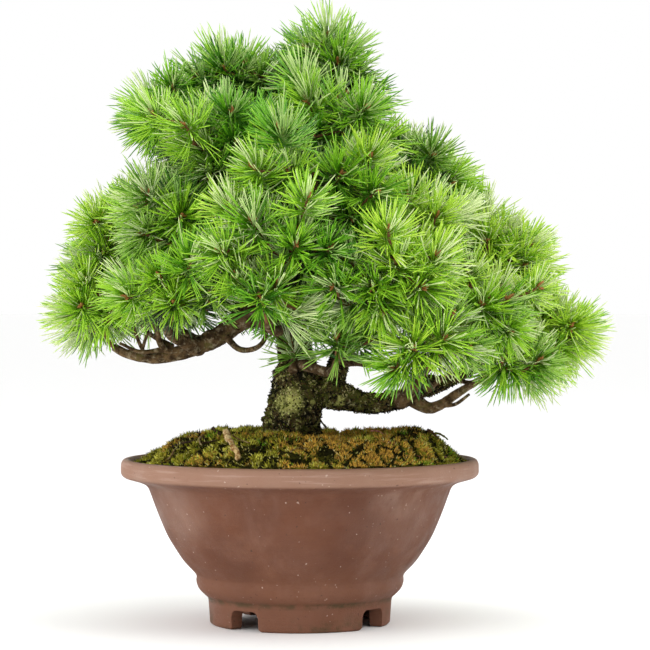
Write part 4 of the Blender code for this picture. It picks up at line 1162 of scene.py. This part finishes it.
def makeTwigs(twigs, nodes):
    # All twigs as tapering tubes, a + (b - a) t, with the same number of points each.
    count = max(len(path) for path, _, _ in twigs)
    t = np.linspace(0.0, 1.0, count)
    paths = np.array([[np.interp(t, np.linspace(0, 1, len(p)), p[:, j]) for j in range(3)]
                      for p, _, _ in twigs])
    paths = np.moveaxis(paths, 1, 2)
    radii = np.array([a + (b - a) * t for _, a, b in twigs])
    rng = np.random.default_rng(5)
    radii = radii * rng.uniform(0.85, 1.18, radii.shape)
    reference = unit(rng.normal(size=(len(twigs), 3)))
    points, faces = manyTubes(paths, radii, shoot["twigSides"], reference)
    piece = makePiece("twigs", points, faces, (newMaterial("twigBark", barkBrown, 0.85, 0.2),))
    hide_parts(*nodes)


makeFoliage()
print("foliage made")


# bark of the trunk and boughs

bark = {
    "plate": 0.0052,  # width of a bark plate
    "plateStretch": 0.45,
    "crack": 0.05,  # depths are shares of the limb's radius
    "dome": 0.03,
    "ridge": 0.045,
    "grain": 0.05,
    "lump": 0.1,
    "flare": 0.004,
    "flareLobes": 5,
    "flareHeight": 0.0085,
    "dark": linear(27, 24, 13),
    "middle": linear(82, 71, 44),
    "pale": linear(196, 186, 138),
    "moss": linear(84, 90, 36),
    "lichen": linear(214, 214, 122),
    "young": linear(122, 98, 68),
    "youngPale": linear(178, 162, 132),
    "youngDark": linear(58, 44, 28),
    "flakes": 14500,
    "flakeLength": 0.0016,
    "flakeWidth": 0.00074,
    "flakeTop": 0.205,  # flakes stand on the old bark below this height
    "flakeColours": (
        linear(22, 19, 10), linear(86, 68, 40), linear(92, 98, 36),
        linear(178, 168, 116), linear(222, 224, 138),
    ),
    "patch": (-0.0245, -0.02, 0.156),
    "patchReach": 0.012,
    # parts that are drawn thinner than the solids: heights between which that fades in, shift and thinning
    "neckLow": (0.172, 0.182),
    "neckHigh": (0.225, 0.205),
    "neckShift": 0.0018,
    "neckThin": 0.0022,
    "leaderBase": (0.215, 0.18),
    "leaderShift": 0.0022,
    "leaderThin": 0.26,  # a share of the radius
    "rightLowThick": 0.86,
    "rightLowRise": 0.0012,
}

# swellings: place, spread and height
knots = (
    ((0.009, -0.012, 0.166), 0.008, 0.0032), ((0.006, -0.014, 0.156), 0.008, 0.0035),
    ((0.072, -0.01, 0.168), 0.006, 0.0052), ((0.046, -0.012, 0.158), 0.006, 0.0028),
    ((-0.0805, -0.006, 0.199), 0.006, 0.0044), ((-0.047, -0.006, 0.156), 0.006, 0.0034),
    ((-0.04, -0.012, 0.176), 0.005, 0.0026), ((-0.005, -0.016, 0.144), 0.006, 0.0026),
)

# small forks that show below the foliage: radii at both ends and way points
forks = (
    (0.0026, 0.0014, ((-0.093, -0.002, 0.193), (-0.1115, -0.01, 0.1916), (-0.117, -0.02, 0.207),
                      (-0.1185, -0.026, 0.2182))),
    (0.0019, 0.001, ((-0.1065, -0.005, 0.193), (-0.122, -0.012, 0.2025), (-0.1285, -0.022, 0.211))),
    (0.0016, 0.001, ((-0.125, -0.005, 0.186), (-0.1305, -0.01, 0.199), (-0.1335, -0.014, 0.21))),
    (0.0014, 0.0009, ((-0.129, -0.005, 0.185), (-0.1262, -0.012, 0.1944), (-0.1225, -0.02, 0.204))),
    (0.0021, 0.0012, ((-0.07, -0.004, 0.201), (-0.059, -0.014, 0.1916), (-0.0465, -0.024, 0.1934),
                      (-0.0405, -0.03, 0.2025), (-0.045, -0.04, 0.212))),
    (0.0018, 0.001, ((-0.1115, -0.01, 0.1916), (-0.128, -0.016, 0.19), (-0.142, -0.022, 0.196))),
    (0.002, 0.0011, ((0.07, -0.012, 0.164), (0.079, -0.024, 0.17), (0.086, -0.036, 0.176))),
    (0.0017, 0.001, ((0.09, -0.01, 0.171), (0.101, -0.022, 0.169), (0.112, -0.032, 0.176))),
    (0.0016, 0.0009, ((0.082, -0.017, 0.153), (0.09, -0.026, 0.154), (0.099, -0.034, 0.161))),
    (0.0026, 0.0029, ((-0.0205, -0.009, 0.184), (-0.0215, -0.015, 0.181), (-0.0225, -0.0185, 0.1765))),
)


def limbGrid(path, sides):
    # Rings p + r (s cos a + o sin a) along the path, with s square to the path and to one fixed way.
    along = unit(np.gradient(path[:, :3], axis=0))
    reference = frameFor(unit(path[-1, :3] - path[0, :3]))[0]
    side = unit(np.cross(along, reference))
    other = np.cross(side, along)
    turn = 2.0 * math.pi * np.arange(sides) / sides
    out = side[:, None] * np.cos(turn)[None, :, None] + other[:, None] * np.sin(turn)[None, :, None]
    return path[:, None, :3] + out * path[:, None, 3:4], out


def barkHeight(points, radius, plate, seed):
    # Fibrous bark in shares of the radius: long cells with soft cracks, ridges 1 - 2 |noise|, and lumps.
    warp = np.stack([layeredNoise(points, 0.006, seed + 3 + k, 2) for k in range(3)], axis=-1) * 0.0016
    flat = (points + warp) * np.array((1.0, 1.0, bark["plateStretch"]))
    first, second = cellNoise(flat, plate, seed)
    crack = 1.0 - smoothStep(0.02, 0.3, second - first)
    crack = crack * smoothStep(-0.5, 0.3, softNoise(points, 0.007, seed + 5))
    ridge = 1.0 - np.abs(layeredNoise(flat, 0.0034, seed + 29, 3)) * 2.0
    height = bark["dome"] * (1.0 - first) - bark["crack"] * crack + bark["ridge"] * ridge
    height = height + bark["grain"] * layeredNoise(points, 0.003, seed + 11, 3)
    height = height + bark["lump"] * softNoise(points, 0.016, seed + 19)
    # the second value, from the cracks and the low ground between ridges, is how much painted shade a point
    # gets
    return height * radius, np.clip(crack * 0.6 + (0.35 - ridge) * 0.8, 0.0, 1.0)


def knotHeight(points):
    # Sum of swellings h exp(-d^2 / w^2).
    total = np.zeros(points.shape[:-1])
    for place, spread, height in knots:
        total += height * np.exp(-np.sum((points - np.array(place)) ** 2, axis=-1) / spread**2)
    return total


def makeLimb(path, sides, plate, seed, collar=0.0):
    # One limb: its rings pushed out by the bark, by knots and by a collar r c exp(-s / 2r) at its root.
    path = path.copy()
    run = np.concatenate(([0.0], np.cumsum(np.linalg.norm(np.diff(path[:, :3], axis=0), axis=1))))
    path[:, 3] *= 1.0 + collar * np.exp(-np.maximum(run - path[0, 3] * 1.2, 0.0) / (2.0 * path[0, 3]))
    grid, out = limbGrid(path, sides)
    height, crack = barkHeight(grid, path[:, None, 3], plate, seed)
    grid = grid + out * (height + knotHeight(grid))[..., None]
    return grid, crack


def joinGrids(parts):
    # Several closed grids as one set of points and faces, with the crack value of each point.
    points, quads, fans, values, start = [], [], [], [], 0
    for grid, crack in parts:
        p, q, f = closedGrid(grid)
        points.append(p)
        quads.append(q + start)
        fans.append(f + start)
        values.append(np.concatenate((crack.ravel(), (1.0, 1.0))))
        start += len(p)
    return np.vstack(points), np.vstack(quads), np.vstack(fans), np.concatenate(values)


def addValues(piece, name, values):
    layer = piece.data.attributes.new(name, "FLOAT", "POINT")
    layer.data.foreach_set("value", values.astype(np.float32))


def readValues(tree, name):
    return addNode(tree, "ShaderNodeAttribute", attribute_name=name).outputs["Fac"]


def oldBarkMaterial():
    material = newMaterial("oldBark", bark["middle"], 0.92, 0.15)
    tree = material.node_tree
    colour = mixColours(tree, noiseMask(tree, 210.0, 0.44, 0.58, 5.0), bark["dark"], bark["middle"])
    colour = paint(tree, colour, noiseMask(tree, 420.0, 0.56, 0.66, 5.0, seed=4.0), 0.8, bark["pale"])
    mossy = multiply(tree, noiseMask(tree, 60.0, 0.44, 0.62, 5.0, seed=7.0), 0.62)
    colour = mixColours(tree, mossy, colour, bark["moss"])
    fleck = multiply(tree, noiseMask(tree, 120.0, 0.56, 0.66, 4.0, seed=17.0), 0.55)
    colour = mixColours(tree, fleck, colour, bark["lichen"])
    patch = multiply(tree, spotMask(tree, bark["patch"], (0.0145, 0.012, 0.0125)),
                     noiseMask(tree, 170.0, 0.3, 0.52, 5.0, seed=8.0))
    colour = paint(tree, colour, patch, 0.85, bark["lichen"])
    # painted shade in the cracks and in the low ground between ridges
    colour = paint(tree, colour, readValues(tree, "crack"), 0.8, linear(13, 11, 6))
    fine = noiseMask(tree, 700.0, 0.2, 0.8, 4.0)
    finishMaterial(material, colour, ((fine, 0.0005),))
    return material


def youngBarkMaterial():
    material = newMaterial("youngBark", bark["young"], 0.88, 0.18)
    tree = material.node_tree
    colour = mixColours(tree, noiseMask(tree, 150.0, 0.36, 0.66, 5.0), bark["youngDark"], bark["young"])
    colour = paint(tree, colour, noiseMask(tree, 260.0, 0.5, 0.7, 5.0, seed=4.0), 0.7, bark["youngPale"])
    colour = paint(tree, colour, noiseMask(tree, 90.0, 0.56, 0.68, 4.0, seed=6.0), 0.45, bark["moss"])
    # painted shade in the cracks and in the low ground between ridges
    colour = paint(tree, colour, readValues(tree, "crack"), 0.6, bark["youngDark"])
    fine = noiseMask(tree, 800.0, 0.2, 0.8, 4.0)
    finishMaterial(material, colour, ((fine, 0.0004),))
    return material


def makeFlakes(parts, nodes):
    # Small rough flakes all over the old bark: short pointed tubes that lean from the surface's normal to a
    # random side. The normal is the cross product of the grid's two ways. Places are drawn by cell area.
    rng = np.random.default_rng(91)
    places, normals, areas = [], [], []
    for grid, _ in parts:
        normal = np.cross(np.roll(grid, -1, axis=1) - grid, np.gradient(grid, axis=0))
        area = np.linalg.norm(normal, axis=-1) * (grid[..., 2] < bark["flakeTop"])
        outward = np.sum(normal * (grid - grid.mean(axis=1, keepdims=True)), axis=-1, keepdims=True)
        places.append(grid.reshape(-1, 3))
        normals.append((unit(normal) * np.sign(outward)).reshape(-1, 3))
        areas.append(area.ravel())
    places, normals, areas = np.vstack(places), np.vstack(normals), np.concatenate(areas)
    pick = rng.choice(len(places), bark["flakes"], p=areas / areas.sum())
    place = places[pick] + rng.normal(0.0, 0.0004, (len(pick), 3))
    way = unit(normals[pick] * 0.15 + unit(rng.normal(size=(len(pick), 3))) * 0.95)
    inward = np.minimum(np.sum(way * normals[pick], axis=1, keepdims=True), 0.0)
    way = unit(way - normals[pick] * inward * 1.6)
    start = place - normals[pick] * 0.0005
    length = bark["flakeLength"] * rng.uniform(0.5, 1.5, (len(pick), 1))
    paths = np.stack((start, start + way * length), axis=1)
    radii = np.stack((bark["flakeWidth"] * rng.uniform(0.6, 1.5, len(pick)), np.zeros(len(pick))), axis=1)
    points, faces = manyTubes(paths, radii, 3, unit(rng.normal(size=(len(pick), 3))))
    away = np.linalg.norm(place - np.array(bark["patch"]), axis=1)
    near = 1.0 - smoothStep(0.55, 1.1, away / bark["patchReach"])
    region = softNoise(place, 0.009, 92) + 0.6 * softNoise(place, 0.0035, 93)
    region = region + rng.normal(0.0, 0.6, len(pick))
    deal = np.select((region < 0.00, region < 0.5, region < 1.2), (0, 1, 2), 3)
    onPatch = np.select((region < -0.5, region > 0.5), (2, 3), 4)
    deal = np.where(rng.uniform(size=len(pick)) < near * 0.8, onPatch, deal)
    looks = [newMaterial("barkFlake" + str(k), colour, 0.92, 0.15)
             for k, colour in enumerate(bark["flakeColours"])]
    faces = [part for part in faces if len(part)]
    slots = np.concatenate([np.repeat(deal, len(part) // len(pick)) for part in faces])
    piece = makePiece("barkFlakes", points, faces, looks, slots)
    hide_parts(*nodes)


def makeWood():
    # The trunk with a flare f (0.55 + 0.45 cos(5 a + 0.8)) exp(-h / w) at its root, the boughs and the forks,
    # joined into one piece of old bark and one of young bark.
    path = limbs["trunk"].copy()
    neck = smoothStep(*bark["neckLow"], path[:, 2]) * smoothStep(*bark["neckHigh"], path[:, 2])
    still = np.zeros(len(path))
    path = path + np.stack((neck * bark["neckShift"], still, still, -neck * bark["neckThin"]), axis=1)
    grid, crack = makeLimb(path, 132, bark["plate"], 3)
    x0, y0, z0 = trunkWay[0][:3]
    dx, dy = grid[..., 0] - x0, grid[..., 1] - y0
    lobe = 0.55 + 0.45 * np.cos(bark["flareLobes"] * np.arctan2(dy, dx) + 0.8)
    push = bark["flare"] * lobe * np.exp(-(grid[..., 2] - z0) / bark["flareHeight"])
    away = np.maximum(np.hypot(dx, dy), 0.001)
    grid[..., 0] += push * dx / away
    grid[..., 1] += push * dy / away
    old = [(grid, crack)]
    young = []
    seed = 20
    for name, path in limbs.items():
        if name == "trunk":
            continue
        seed += 1
        dark = name in ("leader", "rightLow")
        sides = 84 if dark else (44 if name in ("leftLow", "rightLowerArm", "leftUpper") else 20)
        plate = 0.0062 if dark else 0.004
        if name == "rightLow":
            path = path * (1.0, 1.0, 1.0, bark["rightLowThick"]) + (0.0, 0.0, bark["rightLowRise"], 0.0)
        if name == "leader":
            low, still = smoothStep(*bark["leaderBase"], path[:, 2]), np.zeros(len(path))
            thin = path[:, 3] * low * bark["leaderThin"]
            path = path - np.stack((low * bark["leaderShift"], still, still, thin), axis=1)
        if name == "rightLowerArm":
            path = path + np.linspace(0.0, 1.0, len(path))[:, None] * np.array((-0.001, 0.0, 0.003, 0.0))
        (old if dark else young).append(makeLimb(path, sides, plate, seed, 0.0 if dark else 0.25))
    for rootRadius, tipRadius, way in forks:
        seed += 1
        radii = np.linspace(rootRadius, tipRadius, len(way))
        rows = smoothPath([(*p, r) for p, r in zip(way, radii)], 0.0012)
        young.append(makeLimb(rows, 12, 0.003, seed, 0.25))
    oldNodes = ["trunk", "bough_leader", "bough_right_low"]
    youngNodes = [row[0] for row in boughs.values() if row[0] not in oldNodes]
    for label, parts, material, nodes, slot in (
            ("oldBark", old, oldBarkMaterial(), oldNodes, "old_bark"),
            ("youngBark", young, youngBarkMaterial(), youngNodes, "bough_bark")):
        points, quads, fans, values = joinGrids(parts)
        piece = makePiece(label, points, (quads, fans), (material,))
        addValues(piece, "crack", values)
        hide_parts(*nodes)
        print(label, len(quads) * 2 + len(fans), "triangles")
    makeFlakes(old, oldNodes)


makeWood()
print("bark made")


# moss and what lies on it

moss = {
    "radius": 0.1176,
    "edge": 0.1104,
    "frontEdge": 0.0046,  # the moss is that much higher at the front lip
    "rise": 0.0174,
    "shoulder": (0.6, 0.75),  # where the top begins on the left and on the right, as a share of the radius
    # swells: place, spread and height
    "swells": (
        ((-0.06, 0.000), (0.026, 0.05), 0.0028), ((0.012, 0.01), (0.026, 0.07), -0.0032),
        ((0.054, 0.000), (0.02, 0.06), 0.0024), ((-0.03, -0.062), (0.03, 0.022), 0.002),
        ((-0.094, -0.058), (0.018, 0.0055), -0.0075), ((-0.066, -0.084), (0.004, 0.012), -0.0045),
        ((0.01, -0.092), (0.004, 0.012), -0.0045), ((0.04, -0.09), (0.006, 0.01), -0.003),
    ),
    "cushion": 0.0145,
    "cushionHeight": 0.0074,
    "tuft": 0.005,
    "tuftHeight": 0.0036,
    "rings": 104,
    "sectors": 448,
    "sprigs": 54000,
    "sprigHeight": 0.0036,
    "sprigWidth": 0.0005,
    # soil between the cushions, darkened as painted shade as well
    "soil": linear(22, 18, 10),
    # radius and height of the rings down the pot's inside
    "wall": (
        (0.1135, 0.1055), (0.101, 0.0963), (0.0924, 0.079),
        (0.0754, 0.046), (0.0592, 0.0244), (0.02, 0.0244),
    ),
    "greens": {
        "Olive": linear(146, 142, 46),
        "Yellow": linear(218, 214, 92),
        "Golden": linear(230, 180, 78),
        "Dark": linear(38, 37, 15),
        "Pale": linear(222, 212, 132),
        "Green": linear(112, 158, 44),
        "Brown": linear(164, 124, 62),
    },
}

# what lies on the moss: colour, radius and its two ends, in millimetres right of the view's axis and above
# the ground as the viewer sees them
debris = (
    ((208, 182, 134), 2.3, (-69, 131.6), (-64.6, 123)), ((202, 172, 120), 2.1, (-64.6, 121), (-61.2, 112.5)),
    ((160, 142, 104), 0.8, (-85.4, 129.3), (-86.1, 122.3)),
    ((146, 124, 88), 0.7, (-105.7, 119.5), (-109.9, 113)),
    ((62, 46, 30), 1.1, (-78.4, 134.4), (-72.8, 130)), ((140, 122, 78), 0.6, (-65.1, 130), (-52.5, 124.4)),
    ((172, 116, 100), 0.5, (32.2, 132.8), (40.6, 130.7)), ((150, 92, 74), 0.5, (44.1, 125.8), (66.5, 114.8)),
    ((186, 132, 116), 0.6, (65.1, 115.2), (85.4, 114.4)), ((96, 72, 48), 1, (72, 133.2), (79.5, 127)),
    ((104, 112, 44), 0.8, (77, 131), (86, 126.6)), ((54, 40, 26), 0.9, (-107, 121.6), (-96, 124.4)),
    ((58, 44, 28), 0.9, (-101, 124), (-84, 127.6)), ((70, 54, 34), 0.8, (-96, 121), (-76, 126)),
    ((150, 132, 92), 0.5, (-24, 118), (-13, 120.5)), ((196, 178, 120), 0.5, (6, 119.5), (12, 114.5)),
)
debrisDepth = 0.012  # how much the two ends of a piece may differ in depth
# bits that stand at the trunk's base, in the same way, both at the depth of the trunk's middle
baseBits = (
    ((66, 60, 34), 2.5, (-42.6, 142.2), (-42.2, 133)), ((88, 80, 40), 0.9, (-5.2, 142), (0.6, 135.4)),
)


def mossHeight(x, y):
    # Edge + rise f, f from 0 at the pot's wall to 1 at the shoulder, with the swells, then cushions and
    # tufts: domes h (c - d^2) over cells.
    away = np.hypot(x - pot["middleX"], y)
    share = np.clip(away / moss["radius"], 0.0, 1.0)
    right = smoothStep(-0.2, 0.8, (x - pot["middleX"]) / np.maximum(away, 0.001))
    shoulder = moss["shoulder"][0] + (moss["shoulder"][1] - moss["shoulder"][0]) * right
    t = np.clip((1.0 - share) / (1.0 - shoulder), 0.0, 1.0)
    crown = t * t * (3.0 - 2.0 * t)
    front = smoothStep(0.3, 0.75, -y / np.maximum(away, 0.001))
    height = moss["edge"] + moss["frontEdge"] * front * (1.0 - crown) + moss["rise"] * crown
    for (cx, cy), spread, rise in moss["swells"]:
        height = height + rise * np.exp(-((x - cx) / spread[0]) ** 2 - ((y - cy) / spread[1]) ** 2) * crown
    flat = np.stack((x, y, np.zeros_like(x)), axis=-1)
    cushion, nextCushion = cellNoise(flat, moss["cushion"], 51)
    tuft, _ = cellNoise(flat, moss["tuft"], 52)
    fade = 0.25 + 0.75 * smoothStep(1.0, 0.86, share)
    relief = moss["cushionHeight"] * (0.55 - cushion**2) + moss["tuftHeight"] * (0.5 - tuft**2)
    relief = relief + 0.0007 * layeredNoise(flat, 0.0026, 53, 2)
    return height + relief * fade, smoothStep(0.34, 0.04, nextCushion - cushion)


def mossMaterial():
    material = newMaterial("mossBed", moss["greens"]["Olive"], 0.95, 0.1)
    tree = material.node_tree
    greens = moss["greens"]
    colour = mixColours(tree, noiseMask(tree, 70.0, 0.4, 0.62, 5.0), greens["Dark"], greens["Olive"])
    colour = mixColours(tree, noiseMask(tree, 42.0, 0.5, 0.66, 5.0, seed=3.0), colour, greens["Golden"])
    colour = paint(tree, colour, noiseMask(tree, 210.0, 0.54, 0.7, 5.0, seed=5.0), 0.7, greens["Yellow"])
    # the hollows between cushions take the soil colour: soil and painted shade
    colour = paint(tree, colour, readValues(tree, "hollow"), 0.75, moss["soil"])
    finishMaterial(material, colour, ((noiseMask(tree, 900.0, 0.2, 0.8, 4.0), 0.0008),))
    return material


def makeMoss():
    # The top is a grid of rings and sectors, z = mossHeight(x, y). A wall down the pot and a floor close it.
    turn = 2.0 * math.pi * np.arange(moss["sectors"]) / moss["sectors"]
    ring = moss["radius"] * np.sin(np.linspace(0.02, 1.0, moss["rings"]) * 0.5 * math.pi) ** 0.9
    x = pot["middleX"] + ring[:, None] * np.cos(turn)
    y = ring[:, None] * np.sin(turn)
    z, hollow = mossHeight(x, y)
    top = np.stack((x, y, z), axis=-1)
    rows = [np.stack((pot["middleX"] + r * np.cos(turn), r * np.sin(turn), np.full(len(turn), h)), axis=-1)
            for r, h in moss["wall"]]
    grid = np.concatenate((top, np.array(rows)))[::-1]
    hollow = np.concatenate((hollow, np.ones((len(rows), len(turn)))))[::-1]
    points, quads, fans = closedGrid(grid)
    piece = makePiece("mossBed", points, (quads, fans), (mossMaterial(),))
    addValues(piece, "hollow", np.concatenate((hollow.ravel(), (1.0, 0.0))))
    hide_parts("soil_and_moss")


def makeSprigs():
    # Thousands of tiny upright points on the moss, leaning out from its cushions, coloured by cushion.
    rng = np.random.default_rng(61)
    count = moss["sprigs"]
    away = moss["radius"] * 0.998 * np.sqrt(rng.uniform(0.0, 1.0, count))
    turn = rng.uniform(0.0, 2.0 * math.pi, count)
    x, y = pot["middleX"] + away * np.cos(turn), away * np.sin(turn)
    z, hollow = mossHeight(x, y)
    step = 0.0008
    slopeX = (mossHeight(x + step, y)[0] - z) / step
    slopeY = (mossHeight(x, y + step)[0] - z) / step
    edge = smoothStep(0.93, 1.0, away / moss["radius"]) * 1.3
    way = np.stack((edge * np.cos(turn) - slopeX, edge * np.sin(turn) - slopeY, np.full(count, 1.1)), axis=-1)
    way = unit(way + rng.normal(0.0, 0.55, (count, 3)))
    start = np.stack((x, y, z - 0.0004), axis=-1)
    tall = moss["sprigHeight"] * rng.uniform(0.5, 1.25, count) * (1.0 - 0.5 * hollow)
    paths = np.stack((start, start + way * tall[:, None]), axis=1)
    radii = np.stack((moss["sprigWidth"] * rng.uniform(0.7, 1.4, count), np.zeros(count)), axis=1)
    flat = np.stack((x, y, np.zeros(count)), axis=-1)
    region = softNoise(flat, 0.02, 71) + 0.5 * softNoise(flat, 0.006, 72) + rng.normal(0.0, 0.35, count)
    # painted shadow: a dark patch on the moss's left slope
    shadow = np.exp(-(((x + 0.096) / 0.018) ** 2) - ((y + 0.03) / 0.022) ** 2)
    region = region - 1.7 * shadow
    golden = smoothStep(-0.07, -0.02, x) * smoothStep(0.085, 0.04, x)
    warm = softNoise(flat, 0.022, 73) * 0.8 + golden * 0.85 - 0.2
    warm = warm + rng.normal(0.0, 0.3, count)
    # Dark sprigs in the hollows between cushions are painted shade
    deal = np.select((hollow > 0.68, warm > 0.5, region > 0.5, region < -0.46), (3, 2, 1, 3), 0)
    deal = np.where((deal == 2) & (rng.uniform(size=count) < 0.38), 6, deal)
    deal = np.where(rng.uniform(size=count) < 0.045, 4, deal)
    deal = np.where(softNoise(flat, 0.011, 74) + rng.normal(0.0, 0.2, count) > 0.86, 5, deal)
    for k, (name, colour) in enumerate(moss["greens"].items()):
        chosen = deal == k
        reference = np.tile((0.9, 0.3, 0.2), (int(chosen.sum()), 1))
        points, faces = manyTubes(paths[chosen], radii[chosen], 3, reference)
        piece = makePiece("mossSprigs" + name, points, faces, (newMaterial("moss" + name, colour, 0.9, 0.1),))
        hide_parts("soil_and_moss")


def onMoss(x, z):
    # Where the view through a place on the view plane first meets the moss: the nearest of many depths tried.
    depth = np.linspace(-moss["radius"], 0.06, 400)
    scale = (view["distance"] + depth) / view["distance"]
    line = np.stack((x * scale, depth, view["height"] + (z - view["height"]) * scale), axis=1)
    inside = np.hypot(line[:, 0] - pot["middleX"], depth) < moss["radius"] * 0.99
    under = inside & (mossHeight(line[:, 0], depth)[0] >= line[:, 2])
    k = int(np.argmax(under)) if under.any() else int(np.argmin(np.where(inside, np.abs(depth), 9.0)))
    return line[k]


def makeDebris():
    # Bits of bark, twigs and dead needles on the moss: bent, tapering, rough tubes between two places on it.
    rng = np.random.default_rng(83)
    for k, (colour, radius, first, last) in enumerate(debris + baseBits):
        first, last = np.array(first) / 1000.0, np.array(last) / 1000.0
        if k < len(debris):
            a, b = onMoss(*first), onMoss(*last)
            a = fromViewPlane(*first, b[1] + np.clip(a[1] - b[1], -debrisDepth, debrisDepth))
        else:
            a, b = fromViewPlane(*first, 0.0), fromViewPlane(*last, 0.0)
        lift = np.array((0.0, -0.001, 0.0012 + radius * 0.0004))
        t = np.linspace(0.0, 1.0, 22)[:, None]
        bend = rng.normal(0.0, 0.0009, 3) * np.sin(math.pi * t)
        path = a * (1.0 - t) + b * t + lift + bend
        thick = radius * 0.001 * (1.0 - 0.35 * t[:, 0]) * (1.0 + 0.13 * rng.normal(size=len(t)))
        grid, out = limbGrid(np.hstack((path, thick[:, None])), 14)
        grid = grid + out * (layeredNoise(grid, 0.002, 84 + k, 3) * radius * 0.0005)[..., None]
        points, quads, fans = closedGrid(grid)
        material = newMaterial("debris" + str(k + 1), linear(*colour), 0.85, 0.2)
        tree = material.node_tree
        dark = tuple(c * s for c, s in zip(linear(*colour), (0.42, 0.3, 0.2)))
        mask = noiseMask(tree, 300.0, 0.46, 0.58, 5.0, seed=float(k))
        mixed = mixColours(tree, mask, linear(*colour), dark)
        finishMaterial(material, mixed, ((noiseMask(tree, 900.0, 0.2, 0.8), 0.0004),))
        piece = makePiece("debris" + str(k + 1), points, (quads, fans), (material,))
        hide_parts("soil_and_moss")


makeMoss()
makeSprigs()
makeDebris()
print("moss made")
